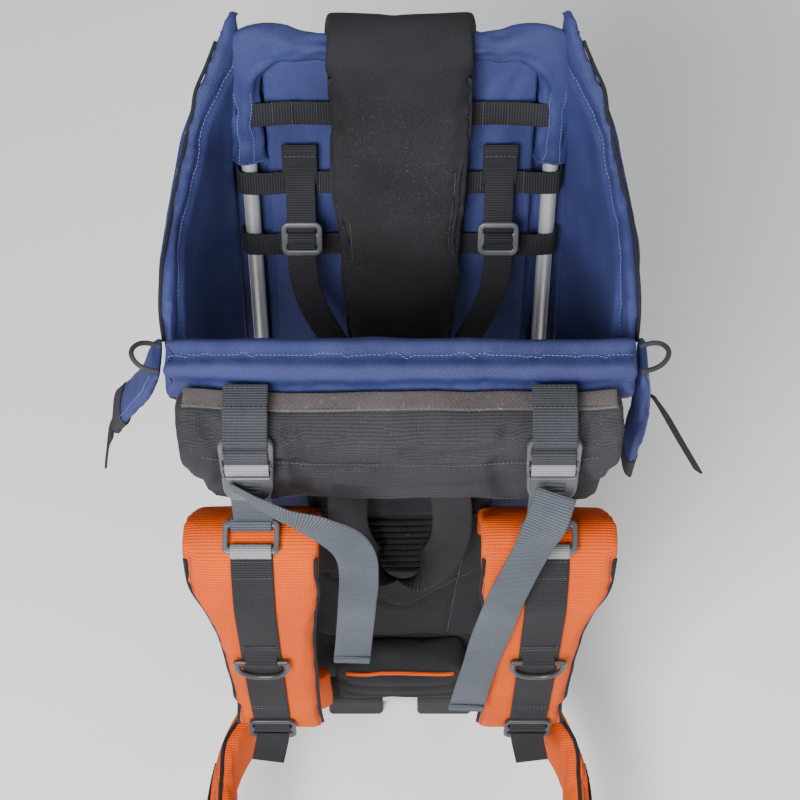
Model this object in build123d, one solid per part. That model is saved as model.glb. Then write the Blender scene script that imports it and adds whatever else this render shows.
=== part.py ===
from build123d import *
from math import cos, sin, tan, pi, atan2, degrees, radians, hypot
import os

# Child carrier backpack standing on its base bar and its opened kickstand.
# Millimetres. X runs across the wearer's back, Y runs from the wearer to the
# child, Z is up. The main tube frame lies in the plane Y = 0, and the floor is Z = 0.

# ---- clearances
seat_gap = 0.3            # soft pieces lie this far from what carries them
socket_gap = 0.1          # radial gap of a clamped tube
running_gap = 0.05        # radial gap of a turning fit

# ---- main frame
frame_half = 112
frame_tube = 16
frame_top = 562
frame_base = 20
frame_corner = 45

# ---- rear frame, leaning away from the wearer
rear_half = frame_half
rear_tube = 12
rear_low = 118
rear_foot_y = 94
rear_top = 645
lean = 13
rear_corner = 40

# ---- kickstand
stand_half = frame_half + 18
stand_tube = 12
stand_foot_y = 286
stand_foot_z = 13
stand_corner = 35
hinge_height = 235
hinge_behind = 16
hinge_bolt = 8
knuckle_wide = 14
knuckle_d = 24
bracket_wall = 4
clamp_wall = 3
clamp_high = 40

# ---- feet
base_foot_x = 41
base_foot_long = 50
base_foot_deep = 28
base_foot_high = 32
stand_foot_x = 69

# ---- storage bag and its zip
bag_front = -8.7
bag_top = 200
bag_bottom = 54
bag_rear = 132
zip_high = 140
zip_long = 180
zip_tape = 24
zip_thick = 1.6

# ---- cockpit
panel_thick = 6
wing_thick = 11
wing_reach = 164
wing_low = 262
pad_thick = 20
pad_top_half = 57
pad_low_half = 45
lining_thick = 6
side_lock_x = 162.8
seat_thick = 14
seat_half = 71
seat_level = 292

# ---- bands and harness
webbing = 30
webbing_thick = 2
band_high = 20
band_thick = 2
band_levels = (593, 533, 476)
harness_wide = 22
harness_x = 74
slider_long = 26
buckle_body = (46, 14, 50)
button_d = 20
button_travel = 3

# ---- collar and wearer's cushion
collar_half = 160
collar_front = -25
collar_rear = 12
collar_low = 545
collar_top = 591
cord_d = 3.5
cushion_half = 155
cushion_low_half = 137
cushion_top = 575
cushion_low = 462
cushion_front = -62

# ---- shoulder pads
shoulder_x = 104
shoulder_top_half = 50
shoulder_thick = 16
shoulder_low = 172

# ---- ladder lock buckles
lock_tilt_y = -61
lock_tilt_z = 564
lock_lean = 16
lock_wide = 37
lock_long = 52
lock_thick = 5
lock_bar = 4.4

# ---- back panel, lumbar pad and hip fins
back_front = -21
back_half = 75
back_low = 178
back_top = 520
lumbar_half = 56
lumbar_front = -46
lumbar_low = 100
lumbar_top = 172
fin_thick = 16
fin_root_x = 64.3
fin_root_y = -37
fin_reach = -205
fin_out = 150
fin_bend_y = -112
fin_taper = 4
fin_low = 76
fin_high = 150

lean_sin = sin(radians(lean))
lean_cos = cos(radians(lean))
frame_r = frame_tube / 2
rear_r = rear_tube / 2
stand_r = stand_tube / 2
nodes = {}


def rod_y(z):
    """Y of the leaning rods at height z."""
    return rear_foot_y + (z - rear_low) * tan(radians(lean))


# Plane of the leaning rods: local X across, local Y up the rods, local Z towards the wearer.
lean_plane = Plane(
    origin=(0, rear_foot_y, rear_low),
    x_dir=(1, 0, 0),
    z_dir=(0, -lean_cos, lean_sin),
)


def up_lean(z):
    """Distance up the leaning rods at which they reach height z."""
    return (z - rear_low) / lean_cos


def at_lean(x, up, out):
    """Point given across, up the rods and out towards the wearer."""
    return lean_plane.from_local_coords(Vector(x, up, out))


def pad_box(wide, deep, high, middle, rounding):
    """Box with all its edges rounded."""
    block = Box(wide, deep, high)
    return Pos(*middle) * fillet(block.edges(), rounding)


def rod(start, end, radius):
    """Straight round bar between two points."""
    run = Vector(*end) - Vector(*start)
    return Plane(origin=start, z_dir=run) * Cylinder(
        radius, run.length, align=(Align.CENTER, Align.CENTER, Align.MIN)
    )


def tube(points, radii, diameter):
    """Round bar along straight runs joined by arcs."""
    route = FilletPolyline(*points, radius=radii)
    start = Plane(origin=route @ 0, z_dir=route % 0)
    return sweep(start * Circle(diameter / 2), path=route)


def ribbon(points, radii, thick, wide, middle, plane=Plane.YZ):
    """Strip that bends in a plane, with its width square to that plane."""
    route = FilletPolyline(*[(a, b, 0) for a, b in points], radius=radii)
    strip = extrude(trace(route, thick), amount=wide / 2, both=True)
    offset_along = plane.z_dir * middle
    return Pos(offset_along.X, offset_along.Y, offset_along.Z) * (plane * strip)


def flat_run(start, end, wide, thick, across=(1, 0, 0)):
    """Flat strap from one point to another; across is where its width points."""
    a = Vector(*start)
    run = Vector(*end) - a
    along = run.normalized()
    side = Vector(*across)
    side = (side - along * side.dot(along)).normalized()
    face = Plane(origin=a, x_dir=side, z_dir=along)
    return face * Box(wide, thick, run.length, align=(Align.CENTER, Align.CENTER, Align.MIN))


def ring_along_x(y, z, middle_x, inner, outer, wide):
    """Round collar whose axis runs along X."""
    collar = Cylinder(outer, wide) - Cylinder(inner, wide + 2)
    return Pos(middle_x, y, z) * Rot(0, 90, 0) * collar


def between(shape, low, high):
    """The part of a shape between two heights."""
    slab = Pos(0, 0, (low + high) / 2) * Box(2000, 2000, high - low)
    return shape & slab


def both_sides(shape):
    """The shape and its mirror image across X = 0."""
    return [shape, mirror(shape, Plane.YZ)]


def put(name, shapes):
    """Keep one named sub-part: a solid or a group of solids."""
    group = shapes if isinstance(shapes, list) else [shapes]
    nodes[name] = [solid for shape in group for solid in shape.solids()]


# ---------------------------------------------------------------- frame
def make_main_frame():
    high = frame_top - frame_base
    loop = Plane.XZ * Pos(0, (frame_top + frame_base) / 2) * RectangleRounded(
        2 * frame_half, high, frame_corner
    )
    path = loop.wire()
    start = Plane(origin=path @ 0, z_dir=path % 0)
    put("main_frame_tube", sweep(start * Circle(frame_r), path=path))


def frame_cut(extra):
    """The main tube's straight upright and top runs, thickened by a gap."""
    reach = frame_half - frame_corner
    r = frame_r + extra
    cut = Pos(0, 0, frame_top) * Rot(0, 90, 0) * Cylinder(r, 2 * reach)
    corner = Plane.XZ * Pos(reach, frame_top - frame_corner)
    bend = corner * CenterArc((0, 0), frame_corner, 0, 90)
    bend_start = Plane(origin=bend @ 0, z_dir=bend % 0)
    turn = sweep(bend_start * Circle(r), path=bend)
    upright = rod((frame_half, 0, frame_base + frame_corner), (frame_half, 0, frame_top - frame_corner), r)
    return [cut] + both_sides(turn) + both_sides(upright)


def make_rear_frame():
    start_y = frame_r + 6
    points = [(-rear_half, start_y, rear_low), (-rear_half, rear_foot_y, rear_low)]
    points += [(-rear_half, rod_y(rear_top), rear_top), (rear_half, rod_y(rear_top), rear_top)]
    points += [(rear_half, rear_foot_y, rear_low), (rear_half, start_y, rear_low)]
    radii = [rear_corner * 0.75, rear_corner, rear_corner, rear_corner * 0.75]
    put("rear_frame_tube", tube(points, radii, rear_tube))


clamp_front = -frame_r - clamp_wall
clamp_rear = 42
clamp_in = frame_half - frame_r - socket_gap - clamp_wall
clamp_out = frame_half + frame_r + socket_gap + clamp_wall
screw_d = 5
screw_y = 24
screw_rise = 13


def make_clamps():
    wide = clamp_out - clamp_in
    deep = clamp_rear - clamp_front
    block = Box(wide, deep, clamp_high)
    block = fillet(block.edges().filter_by(Axis.X), 6)
    clamp = Pos(frame_half, (clamp_front + clamp_rear) / 2, rear_low) * block
    below, above = rear_low - clamp_high, rear_low + clamp_high
    clamp -= rod((frame_half, 0, below), (frame_half, 0, above), frame_r + socket_gap)
    clamp -= rod((rear_half, frame_r, rear_low), (rear_half, clamp_rear + 1, rear_low), rear_r + socket_gap)
    screws = []
    for rise in (-screw_rise, screw_rise):
        z = rear_low + rise
        clamp -= rod((clamp_in - 1, screw_y, z), (clamp_out + 1, screw_y, z), screw_d / 2 + socket_gap)
        shank = rod((clamp_in, screw_y, z), (clamp_out, screw_y, z), screw_d / 2)
        head = rod((clamp_out, screw_y, z), (clamp_out + 2.5, screw_y, z), screw_d)
        screws += both_sides(shank + head)
    put("frame_clamps", both_sides(clamp))
    put("clamp_screws", screws)


def make_base_feet():
    foot = pad_box(base_foot_long, base_foot_deep, base_foot_high, (base_foot_x, 0, base_foot_high / 2), 4)
    foot = split(foot, Plane.XY.offset(1), keep=Keep.TOP)
    foot = Pos(0, 0, -1) * foot
    bar = rod((0, 0, frame_base), (frame_half, 0, frame_base), frame_r + socket_gap)
    put("base_feet", both_sides(foot - bar))


# ---------------------------------------------------------------- kickstand
hinge_y = rod_y(hinge_height) + hinge_behind * lean_cos
hinge_z = hinge_height - hinge_behind * lean_sin
leg_y = stand_foot_y - hinge_y
leg_z = stand_foot_z - hinge_z
leg_long = hypot(leg_y, leg_z)
leg_dir = (0, leg_y / leg_long, leg_z / leg_long)
knuckle_in = stand_half - knuckle_wide / 2
knuckle_out = stand_half + knuckle_wide / 2
bracket_in = rear_half - rear_r - bracket_wall
bracket_out = knuckle_in - seat_gap


def make_hinge_brackets():
    wide = bracket_out - bracket_in
    front = rear_r + bracket_wall
    behind = hinge_behind + 12
    block = Box(wide, 52, front + behind)
    block = fillet(block.edges().filter_by(Axis.X), 7)
    middle = at_lean(0, up_lean(hinge_height), (front - behind) / 2)
    place = Plane(origin=middle, x_dir=(1, 0, 0), z_dir=lean_plane.z_dir)
    bracket = Pos((bracket_in + bracket_out) / 2, 0, 0) * (place * block)
    low = at_lean(rear_half, up_lean(hinge_height) - 40, 0)
    top = at_lean(rear_half, up_lean(hinge_height) + 40, 0)
    bracket -= rod(low, top, rear_r + socket_gap)
    hole_r = hinge_bolt / 2 + socket_gap
    bracket -= rod((bracket_in - 1, hinge_y, hinge_z), (bracket_out + 1, hinge_y, hinge_z), hole_r)
    put("hinge_brackets", both_sides(bracket))


def make_pivot_bolts():
    end = knuckle_out + seat_gap
    shank = rod((bracket_in - 6, hinge_y, hinge_z), (end, hinge_y, hinge_z), hinge_bolt / 2)
    head = rod((end, hinge_y, hinge_z), (end + 4, hinge_y, hinge_z), hinge_bolt * 0.9)
    bolt = shank + head
    hexagon = extrude(RegularPolygon(hinge_bolt * 0.85, 6), amount=5.5)
    bore = Cylinder(hinge_bolt / 2 + socket_gap, 20)
    nut = Plane(origin=(bracket_in - 5.6, hinge_y, hinge_z), z_dir=(1, 0, 0)) * (hexagon - bore)
    put("pivot_bolts", both_sides(bolt) + both_sides(nut))


def make_kickstand():
    start = 14
    top = (hinge_y + leg_dir[1] * start, hinge_z + leg_dir[2] * start)
    points = [(-stand_half, *top), (-stand_half, stand_foot_y, stand_foot_z)]
    points += [(stand_half, stand_foot_y, stand_foot_z), (stand_half, *top)]
    put("kickstand_tube", tube(points, [stand_corner, stand_corner], stand_tube))
    barrel = rod((knuckle_in, hinge_y, hinge_z), (knuckle_out, hinge_y, hinge_z), knuckle_d / 2)
    low = (hinge_y + leg_dir[1] * 46, hinge_z + leg_dir[2] * 46)
    neck = rod((stand_half, hinge_y, hinge_z), (stand_half, *low), stand_r + 3.5)
    wide_cut = Box(40, 200, 200)
    neck -= Pos(knuckle_in - 20, hinge_y, hinge_z) * wide_cut
    neck -= Pos(knuckle_out + 20, hinge_y, hinge_z) * wide_cut
    knuckle = barrel + neck
    bore_end = (hinge_y + leg_dir[1] * 60, hinge_z + leg_dir[2] * 60)
    knuckle -= rod((stand_half, *top), (stand_half, *bore_end), stand_r + socket_gap)
    knuckle -= rod((0, hinge_y, hinge_z), (200, hinge_y, hinge_z), hinge_bolt / 2 + running_gap)
    put("kickstand_knuckles", both_sides(knuckle))
    foot = pad_box(base_foot_long, 26, 26, (stand_foot_x, stand_foot_y, stand_foot_z), 5)
    bar = rod((0, stand_foot_y, stand_foot_z), (stand_half, stand_foot_y, stand_foot_z), stand_r + socket_gap)
    put("kickstand_feet", both_sides(foot - bar))


# ---------------------------------------------------------------- storage bag
def make_storage_bag():
    half = clamp_in - seat_gap
    side = Polyline(
        (bag_front, bag_bottom), (bag_rear - 26, bag_bottom), (bag_rear, bag_bottom + 30),
        (bag_rear, bag_top - 24), (bag_rear - 18, bag_top), (bag_front, bag_top), close=True,
    )
    profile = make_face(side)
    body = Plane.YZ * extrude(fillet(profile.vertices(), 7), amount=2 * half, both=True)
    middle = (bag_top + bag_bottom) / 2
    outline = RectangleRounded(2 * half, bag_top - bag_bottom + 0.2, 34)
    front = Plane.XZ * extrude(Pos(0, middle) * outline, amount=400, both=True)
    put("storage_bag", body & front)
    y = bag_rear + seat_gap
    tape = Box(zip_long, zip_thick, zip_tape, align=(Align.CENTER, Align.MIN, Align.CENTER))
    coil = Box(zip_long, 2, 5, align=(Align.CENTER, Align.MIN, Align.CENTER))
    put("storage_zip", Pos(0, y, zip_high) * (tape + coil))
    slide = Pos(0, y + 2 + seat_gap, zip_high) * Box(10, 4, 12, align=(Align.CENTER, Align.MIN, Align.CENTER))
    pull = Pos(0, y + 4, zip_high - 17) * Box(6, 1.6, 26, align=(Align.CENTER, Align.MIN, Align.CENTER))
    put("zip_slider", Pos(-zip_long / 2 + 12, 0, 0) * (slide + pull))


# ---------------------------------------------------------------- cockpit
def make_rear_panel():
    half = rear_half - rear_r - 8
    low = up_lean(bag_top + 4)
    top = up_lean(rear_top) - rear_r - 1.2
    sheet = Pos(0, (low + top) / 2) * RectangleRounded(2 * half, top - low, 30)
    put("rear_panel", lean_plane * extrude(sheet, amount=panel_thick / 2, both=True))


def make_bands():
    bands = []
    for level in band_levels:
        up = up_lean(level)
        front = panel_thick / 2 + seat_gap
        inner = rear_r + seat_gap
        strip = Pos(0, up, front + band_thick / 2) * Box(2 * rear_half, band_high, band_thick)
        for side in (-1, 1):
            grip = Rot(90, 0, 0) * Cylinder(inner + band_thick, band_high)
            strip += Pos(side * rear_half, up, 0) * grip
        for side in (-1, 1):
            strip -= Pos(side * rear_half, up, 0) * Rot(90, 0, 0) * Cylinder(inner, band_high + 2)
        bands.append(lean_plane * strip)
    put("rear_webbing_bands", bands)


def make_child_back_pad():
    inner = rear_r + seat_gap
    out = inner + pad_thick / 2
    top = up_lean(rear_top) + inner + pad_thick / 2
    low = up_lean(362)
    route = FilletPolyline((out, low, 0), (out, top, 0), (-out, top, 0), (-out, top - 105, 0), radius=[12, 12])
    slab = extrude(trace(route, pad_thick), amount=pad_top_half, both=True)
    slab = Plane(origin=lean_plane.origin, x_dir=lean_plane.z_dir, z_dir=(-1, 0, 0)) * slab
    outline = make_face(Polyline(
        (-pad_low_half, low - 9), (pad_low_half, low - 9), (pad_top_half, top - 120),
        (pad_top_half, top + 20), (-pad_top_half, top + 20), (-pad_top_half, top - 120), close=True,
    ))
    cutter = lean_plane * extrude(fillet(outline.vertices(), 14), amount=100, both=True)
    put("child_back_pad", slab & cutter)


def wing_section(z, rear_out, rear_y, reach, front_out, thick):
    """Plan section of a side wing at one height."""
    front_y = collar_rear + seat_gap
    middle_y = (front_y + rear_y) * 0.48
    outer = ThreePointArc((rear_out, rear_y), (reach, middle_y), (front_out, front_y))
    inner = ThreePointArc(
        (front_out - thick, front_y), (reach - thick, middle_y), (rear_out - thick, rear_y)
    )
    ring = [outer, Line(outer @ 1, inner @ 0), inner, Line(inner @ 1, outer @ 0)]
    return Pos(0, 0, z) * make_face(ring)


def wing_wall(shift, thick):
    """Side wall of the child seat before its edges are cut, moved out by shift."""
    rear_in = rear_half + rear_r + seat_gap
    low_z = wing_low - 10
    high_z = rear_top + 30
    inner = rear_in + wing_thick + shift
    low = wing_section(low_z, inner, rod_y(low_z) + 16, wing_reach - 8 + shift, 152 + shift, thick)
    high = wing_section(high_z, inner, rod_y(high_z) + 16, wing_reach + shift, 160 + shift, thick)
    return loft([low, high], ruled=True)


def make_wings():
    top = rear_top + 22
    edge = Spline((rod_y(top) + 2, top), (172, 628), (130, 603), (70, 592), (13, 556))
    opening = Spline((13, 446), (58, 418), (92, 340), (rod_y(wing_low) - 12, wing_low))
    side = make_face([
        edge, Line(edge @ 1, opening @ 0), opening,
        Line(opening @ 1, (rod_y(wing_low) + 12, wing_low)),
        Line((rod_y(wing_low) + 12, wing_low), (rod_y(top) + 14, top)),
        Line((rod_y(top) + 14, top), edge @ 0),
    ])
    wing = wing_wall(0, wing_thick) & (Plane.YZ * extrude(side, amount=400, both=True))
    put("wing_right", wing)
    put("wing_left", mirror(wing, Plane.YZ))


def make_front_lining():
    half = frame_half - frame_r - seat_gap
    corner = frame_corner - frame_r - 1
    low = bag_top + 4
    high = frame_top - frame_r - seat_gap
    outline = Pos(0, (low + high) / 2) * RectangleRounded(2 * half, high - low, corner)
    sheet = Plane.XZ * extrude(outline, amount=lining_thick / 2, both=True)
    put("front_lining", between(sheet, 0, collar_low - seat_gap))


def make_seat():
    front = lining_thick / 2 + seat_gap
    rear = rod_y(seat_level) - (panel_thick / 2 + seat_gap) / lean_cos - 3.5
    cushion = pad_box(2 * seat_half, rear - front, seat_thick, (0, (front + rear) / 2, seat_level), 5)
    put("seat_cushion", cushion)


# ---------------------------------------------------------------- child harness
harness_top_z = 556
harness_bend_z = 470
harness_out = panel_thick / 2 + seat_gap + webbing_thick / 2
harness_top_y = rod_y(harness_top_z) - harness_out / lean_cos
harness_bend_y = 146
buckle_z = 344
buckle_y = 84


def make_harness_straps():
    top = (harness_x, harness_top_y, harness_top_z)
    bend = (harness_x, harness_bend_y, harness_bend_z)
    low = (15, buckle_y, buckle_z + buckle_body[2] / 2 - 8)
    strap = flat_run(top, bend, harness_wide, webbing_thick)
    strap += flat_run(bend, low, harness_wide, webbing_thick)
    strap = between(strap, buckle_z + buckle_body[2] / 2 + seat_gap, harness_top_z + 20)
    strap -= Pos(0, 0, low[2]) * Box(2 * seat_gap, 400, 400)
    put("child_harness_straps", both_sides(strap.solids().sort_by(Axis.X)[-1]))


def make_harness_sliders():
    run = Vector(0, harness_bend_y - harness_top_y, harness_bend_z - harness_top_z)
    middle = Vector(harness_x, harness_top_y, harness_top_z) + run * 0.68
    face = Plane(origin=middle, x_dir=(1, 0, 0), z_dir=run.normalized())
    wide = harness_wide + 2 * seat_gap
    outer = Box(wide + 9, webbing_thick + 5, slider_long)
    outer = fillet(outer.edges().filter_by(Axis.Y), 4)
    slot = Box(wide, webbing_thick + 2 * seat_gap, slider_long + 2)
    window = Pos(0, -5, 0) * Box(wide - 3, 12, 6)
    slider = face * (outer - slot - Pos(0, 0, -6) * window - Pos(0, 0, 6) * window)
    put("harness_slider_right", slider)
    put("harness_slider_left", mirror(slider, Plane.YZ))


def make_harness_buckle():
    wide, deep, high = buckle_body
    body = pad_box(wide, deep, high, (0, buckle_y, buckle_z), 4)
    well_r = button_d / 2 + running_gap
    well = rod((0, buckle_y - deep, buckle_z), (0, buckle_y + deep / 2 - 4, buckle_z), well_r)
    body -= well
    put("harness_buckle_body", body)
    face = buckle_y - deep / 2 - 2
    back = buckle_y + deep / 2 - 4 - button_travel - seat_gap
    button = rod((0, back, buckle_z), (0, face, buckle_z), button_d / 2)
    button = fillet(button.edges().group_by(Axis.Y)[0], 1)
    put("harness_buckle_button", button)
    seat_top = seat_level + seat_thick / 2
    strap = flat_run((0, buckle_y, buckle_z - high / 2 + 5), (0, 66, seat_top - 5), webbing, webbing_thick)
    strap = between(strap, seat_top + seat_gap, buckle_z - high / 2 - seat_gap)
    put("crotch_strap", strap)


# ---------------------------------------------------------------- collar and cushion
def make_collar():
    wide = collar_rear - collar_front
    high = collar_top - collar_low
    centre = Pos((collar_front + collar_rear) / 2, (collar_low + collar_top) / 2)
    section = centre * RectangleRounded(wide, high, 15)
    bar = Plane.YZ * extrude(section, amount=collar_half, both=True)
    for cutter in frame_cut(seat_gap):
        bar -= cutter
    put("front_collar", bar)


def make_front_cushion():
    rear = collar_front - seat_gap
    profile = make_face(Polyline(
        (rear, cushion_top), (rear - 18, cushion_top), (cushion_front + 3, 553), (cushion_front, 525),
        (-52, cushion_low), (-30, cushion_low), (rear, 500), close=True,
    ))
    soft = fillet(profile.vertices().filter_by(lambda v: v.X < rear - 17 and v.Y > 480), 8)
    body = Plane.YZ * extrude(soft, amount=cushion_half, both=True)
    outline = make_face(Polyline(
        (-cushion_half, cushion_top + 3), (cushion_half, cushion_top + 3), (cushion_half - 3, 530),
        (cushion_low_half, cushion_low), (-cushion_low_half, cushion_low),
        (-cushion_half + 3, 530), close=True,
    ))
    cutter = Plane.XZ * extrude(fillet(outline.vertices(), 12), amount=200, both=True)
    put("front_cushion", body & cutter)
    edge = Box(2 * cushion_half - 26, 14, webbing_thick, align=(Align.CENTER, Align.MAX, Align.MIN))
    put("cushion_edge_band", Pos(0, rear - 1.5, cushion_top + seat_gap) * edge)


def make_side_flaps():
    start = collar_half + seat_gap + 4
    left = ribbon([(-start, 566), (-start - 10, 536), (-203, 492)], [50], 8, 36, -6, Plane.XZ)
    right = ribbon([(start, 567), (start + 6, 500), (start + 2, 432)], [150], 8, 36, -6, Plane.XZ)
    inside = Pos(0, 0, 560) * Box(2 * (collar_half + seat_gap), 400, 400)
    put("side_flaps", [left - inside, right - inside])


def make_cord_loops():
    right = [(161.1, -15, 577), (172, -17, 582), (181, -5, 586), (172, 7, 582), (161.1, 5, 577)]
    loops = [cord_tube([(side * x, y, z) for x, y, z in right], cord_d) for side in (-1, 1)]
    put("cord_loops", loops)


def cord_tube(points, diameter):
    """Tube of a cord: each arc is as large as its two runs allow."""
    radii = []
    for before, here, after in zip(points, points[1:], points[2:]):
        run_in = Vector(*here) - Vector(*before)
        run_out = Vector(*after) - Vector(*here)
        half_turn = radians(run_in.get_angle(run_out)) / 2
        radii.append(0.45 * min(run_in.length, run_out.length) / tan(half_turn))
    solid = tube(points, radii, diameter)
    expected = pi * diameter**2 / 4 * FilletPolyline(*points, radius=radii).length
    print("cord radii", [round(r, 1) for r in radii], "volume ratio", round(solid.volume / expected, 4))
    return solid


# ---------------------------------------------------------------- back
def make_back():
    deep = -frame_r - 1 - back_front
    middle = (0, back_front + deep / 2, (back_low + back_top) / 2)
    put("back_panel", pad_box(2 * back_half, deep, back_top - back_low, middle, 5))
    base = Box(60, 2, 86, align=(Align.CENTER, Align.MAX, Align.CENTER))
    rung = Box(54, 2, 7, align=(Align.CENTER, Align.MAX, Align.CENTER))
    rungs = [Pos(0, -2, -34 + 17 * i) * rung for i in range(5)]
    for rung in rungs:
        base += rung
    put("back_ladder", Pos(0, back_front - seat_gap, 350) * base)
    yoke = Box(2 * 70, 6, 56, align=(Align.CENTER, Align.MAX, Align.CENTER))
    yoke = fillet(yoke.edges().filter_by(Axis.Y), 12)
    put("harness_yoke", Pos(0, back_front - seat_gap, 428) * yoke)


def make_lumbar():
    rear = bag_front - seat_gap
    deep = rear - lumbar_front
    high = lumbar_top - lumbar_low
    middle = (0, (rear + lumbar_front) / 2, (lumbar_top + lumbar_low) / 2)
    put("lumbar_pad", pad_box(2 * lumbar_half, deep, high, middle, 7))
    trim = Box(2 * lumbar_half - 16, 1.5, 4, align=(Align.CENTER, Align.MAX, Align.CENTER))
    put("lumbar_trim", Pos(0, lumbar_front - seat_gap, lumbar_top - 12) * trim)


def fin_path():
    return [(fin_root_x, fin_root_y), (118, -52), (fin_out, fin_bend_y), (fin_out - fin_taper, fin_reach)]


def make_hip_fins():
    route = FilletPolyline(*[(x, y, 0) for x, y in fin_path()], radius=[30, 70])
    plan = trace(route, fin_thick) + Pos(fin_root_x, fin_root_y) * Circle(fin_thick / 2)
    wall = Pos(0, 0, fin_low) * extrude(plan, amount=fin_high - fin_low)
    side = make_face(Polyline(
        (-10, fin_low), (-100, fin_low), (fin_reach - 9, fin_low + 16), (fin_reach - 9, fin_high - 16),
        (-100, fin_high), (-10, fin_high), close=True,
    ))
    fin = wall & (Plane.YZ * extrude(fillet(side.vertices(), 8), amount=300, both=True))
    put("hip_fin_right", fin)
    put("hip_fin_left", mirror(fin, Plane.YZ))


belt_z = (fin_low + fin_high) / 2
belt_start = -128
belt_end = -228


def belt_x(y):
    """X of the belt webbing's middle, on the straight outer face of a hip fin."""
    slope = fin_taper / (fin_bend_y - fin_reach)
    return fin_out - slope * (fin_bend_y - y) + fin_thick / 2 + seat_gap + webbing_thick / 2


def make_hip_belt():
    start = (belt_x(belt_start), belt_start, belt_z)
    stop = (belt_x(belt_end), belt_end, belt_z)
    strap = flat_run(start, stop, webbing, webbing_thick, (0, 0, 1))
    x = belt_x(belt_end)
    put("hip_strap_right", strap)
    put("hip_strap_left", mirror(strap, Plane.YZ))
    end = belt_end - seat_gap
    shell = Box(9, 30, 42, align=(Align.CENTER, Align.MAX, Align.CENTER))
    shell = fillet(shell.edges().filter_by(Axis.X), 7)
    slot = Box(4, 22, 30, align=(Align.CENTER, Align.MAX, Align.CENTER))
    female = Pos(-x, end, belt_z) * (shell - Pos(0, -12, 0) * slot)
    put("hip_buckle_socket", female)
    base = Box(8, 12, 40, align=(Align.CENTER, Align.MAX, Align.CENTER))
    tongue = Pos(0, -11, 0) * Box(3, 26, 6, align=(Align.CENTER, Align.MAX, Align.CENTER))
    prong = Pos(0, -11, 12) * Box(3, 24, 4, align=(Align.CENTER, Align.MAX, Align.CENTER))
    put("hip_buckle_plug", Pos(x, end, belt_z) * (base + tongue + prong + mirror(prong, Plane.XY)))


# ---------------------------------------------------------------- shoulder straps
def shoulder_route():
    root_y = back_front - seat_gap - 6 - seat_gap - shoulder_thick / 2
    return [(root_y, 385), (root_y - 1, 418), (-74, 470), (-97, 420), (-98, 330), (-92, shoulder_low)]


shoulder_radii = [22, 13, 60, 400]


def make_shoulder_pads():
    route = FilletPolyline(*[(y, z, 0) for y, z in shoulder_route()], radius=shoulder_radii)
    band = extrude(trace(route, shoulder_thick), amount=shoulder_top_half + 4, both=True)
    pad = Pos(shoulder_x, 0, 0) * (Plane.YZ * band)
    x = shoulder_x
    outline = make_face(Polyline(
        (x - 46, 350), (x - shoulder_top_half, 420),
        (x - shoulder_top_half, 500), (x + shoulder_top_half, 500),
        (x + shoulder_top_half, 430), (x + 38, 350), (x + 30, shoulder_low - 4), (x - 44, shoulder_low - 4),
        close=True,
    ))
    cutter = Plane.XZ * extrude(fillet(outline.vertices(), 14), amount=200, both=True)
    pad = pad & cutter
    put("shoulder_pad_right", pad)
    put("shoulder_pad_left", mirror(pad, Plane.YZ))


strap_face = shoulder_thick / 2 + seat_gap + webbing_thick / 2


def make_shoulder_webbing():
    route = FilletPolyline(*[(y, z, 0) for y, z in shoulder_route()], radius=shoulder_radii)
    inner = shoulder_thick + 2 * seat_gap
    shell = make_face(trace(route, inner + 2 * webbing_thick).wire()) - trace(route, inner)
    strap = Plane.YZ * extrude(shell, amount=webbing / 2, both=True)
    front = Pos(0, -150, 0) * Box(200, 100, 2000)
    strap = between(Pos(shoulder_x, 0, 0) * strap & front, 205, 432)
    put("shoulder_webbing", both_sides(strap))


ring_z = 330
ring_wire = 4.5


def make_d_rings():
    half = 19
    wire = ring_wire / 2
    keeper_y = -98 - strap_face - webbing_thick / 2 - seat_gap
    bar_y = keeper_y - 1.6 - wire - running_gap
    ring = rod((-half, 0, 0), (half, 0, 0), wire)
    bow = FilletPolyline((-half, 0, 0), (-half, 0, -26), (half, 0, -26), (half, 0, 0), radius=[17, 17])
    ring += sweep(Plane(origin=bow @ 0, z_dir=bow % 0) * Circle(wire), path=bow)
    ring += Pos(-half, 0, 0) * Sphere(wire)
    ring += Pos(half, 0, 0) * Sphere(wire)
    placed = Pos(shoulder_x, bar_y, ring_z) * ring
    put("d_ring_right", placed)
    put("d_ring_left", mirror(placed, Plane.YZ))
    keeper = ring_along_x(bar_y, ring_z, shoulder_x, wire + running_gap, wire + running_gap + 1.6, 24)
    plate = Box(24, 1.6, 26, align=(Align.CENTER, Align.MAX, Align.CENTER))
    tab = Pos(shoulder_x, keeper_y, ring_z + 11) * plate
    tab -= Pos(shoulder_x, bar_y, ring_z) * Rot(0, 90, 0) * Cylinder(wire + running_gap, 60)
    put("d_ring_keepers", both_sides(keeper + tab))


def make_lower_straps():
    y = -92 - strap_face - 2.2
    frame = RectangleRounded(38, 30, 5)
    window = RectangleRounded(31, 6, 1.5)
    plate = extrude(frame - Pos(0, 7) * window - Pos(0, -5) * window, amount=4)
    adjuster = Pos(shoulder_x, y - 0.2, 190) * (Plane.XZ * plate)
    put("strap_adjusters", both_sides(adjuster) + both_sides(make_side_straps()[0]))
    x = frame_half
    inner = frame_r + seat_gap
    grip = Cylinder(inner + webbing_thick, webbing) - Cylinder(inner, webbing + 2)
    grip = Pos(x, 0, 174) * grip
    run = flat_run((x, -inner - 1, 174), (x - 4, -83.7, 176), webbing, webbing_thick, (0, 0, 1))
    run -= Pos(x, 0, 174) * Cylinder(inner, webbing * 2)
    put("lower_straps", both_sides(grip + run))


# ---------------------------------------------------------------- load adjusters
lock_dir = (0, -sin(radians(lock_lean)), -cos(radians(lock_lean)))


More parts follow.
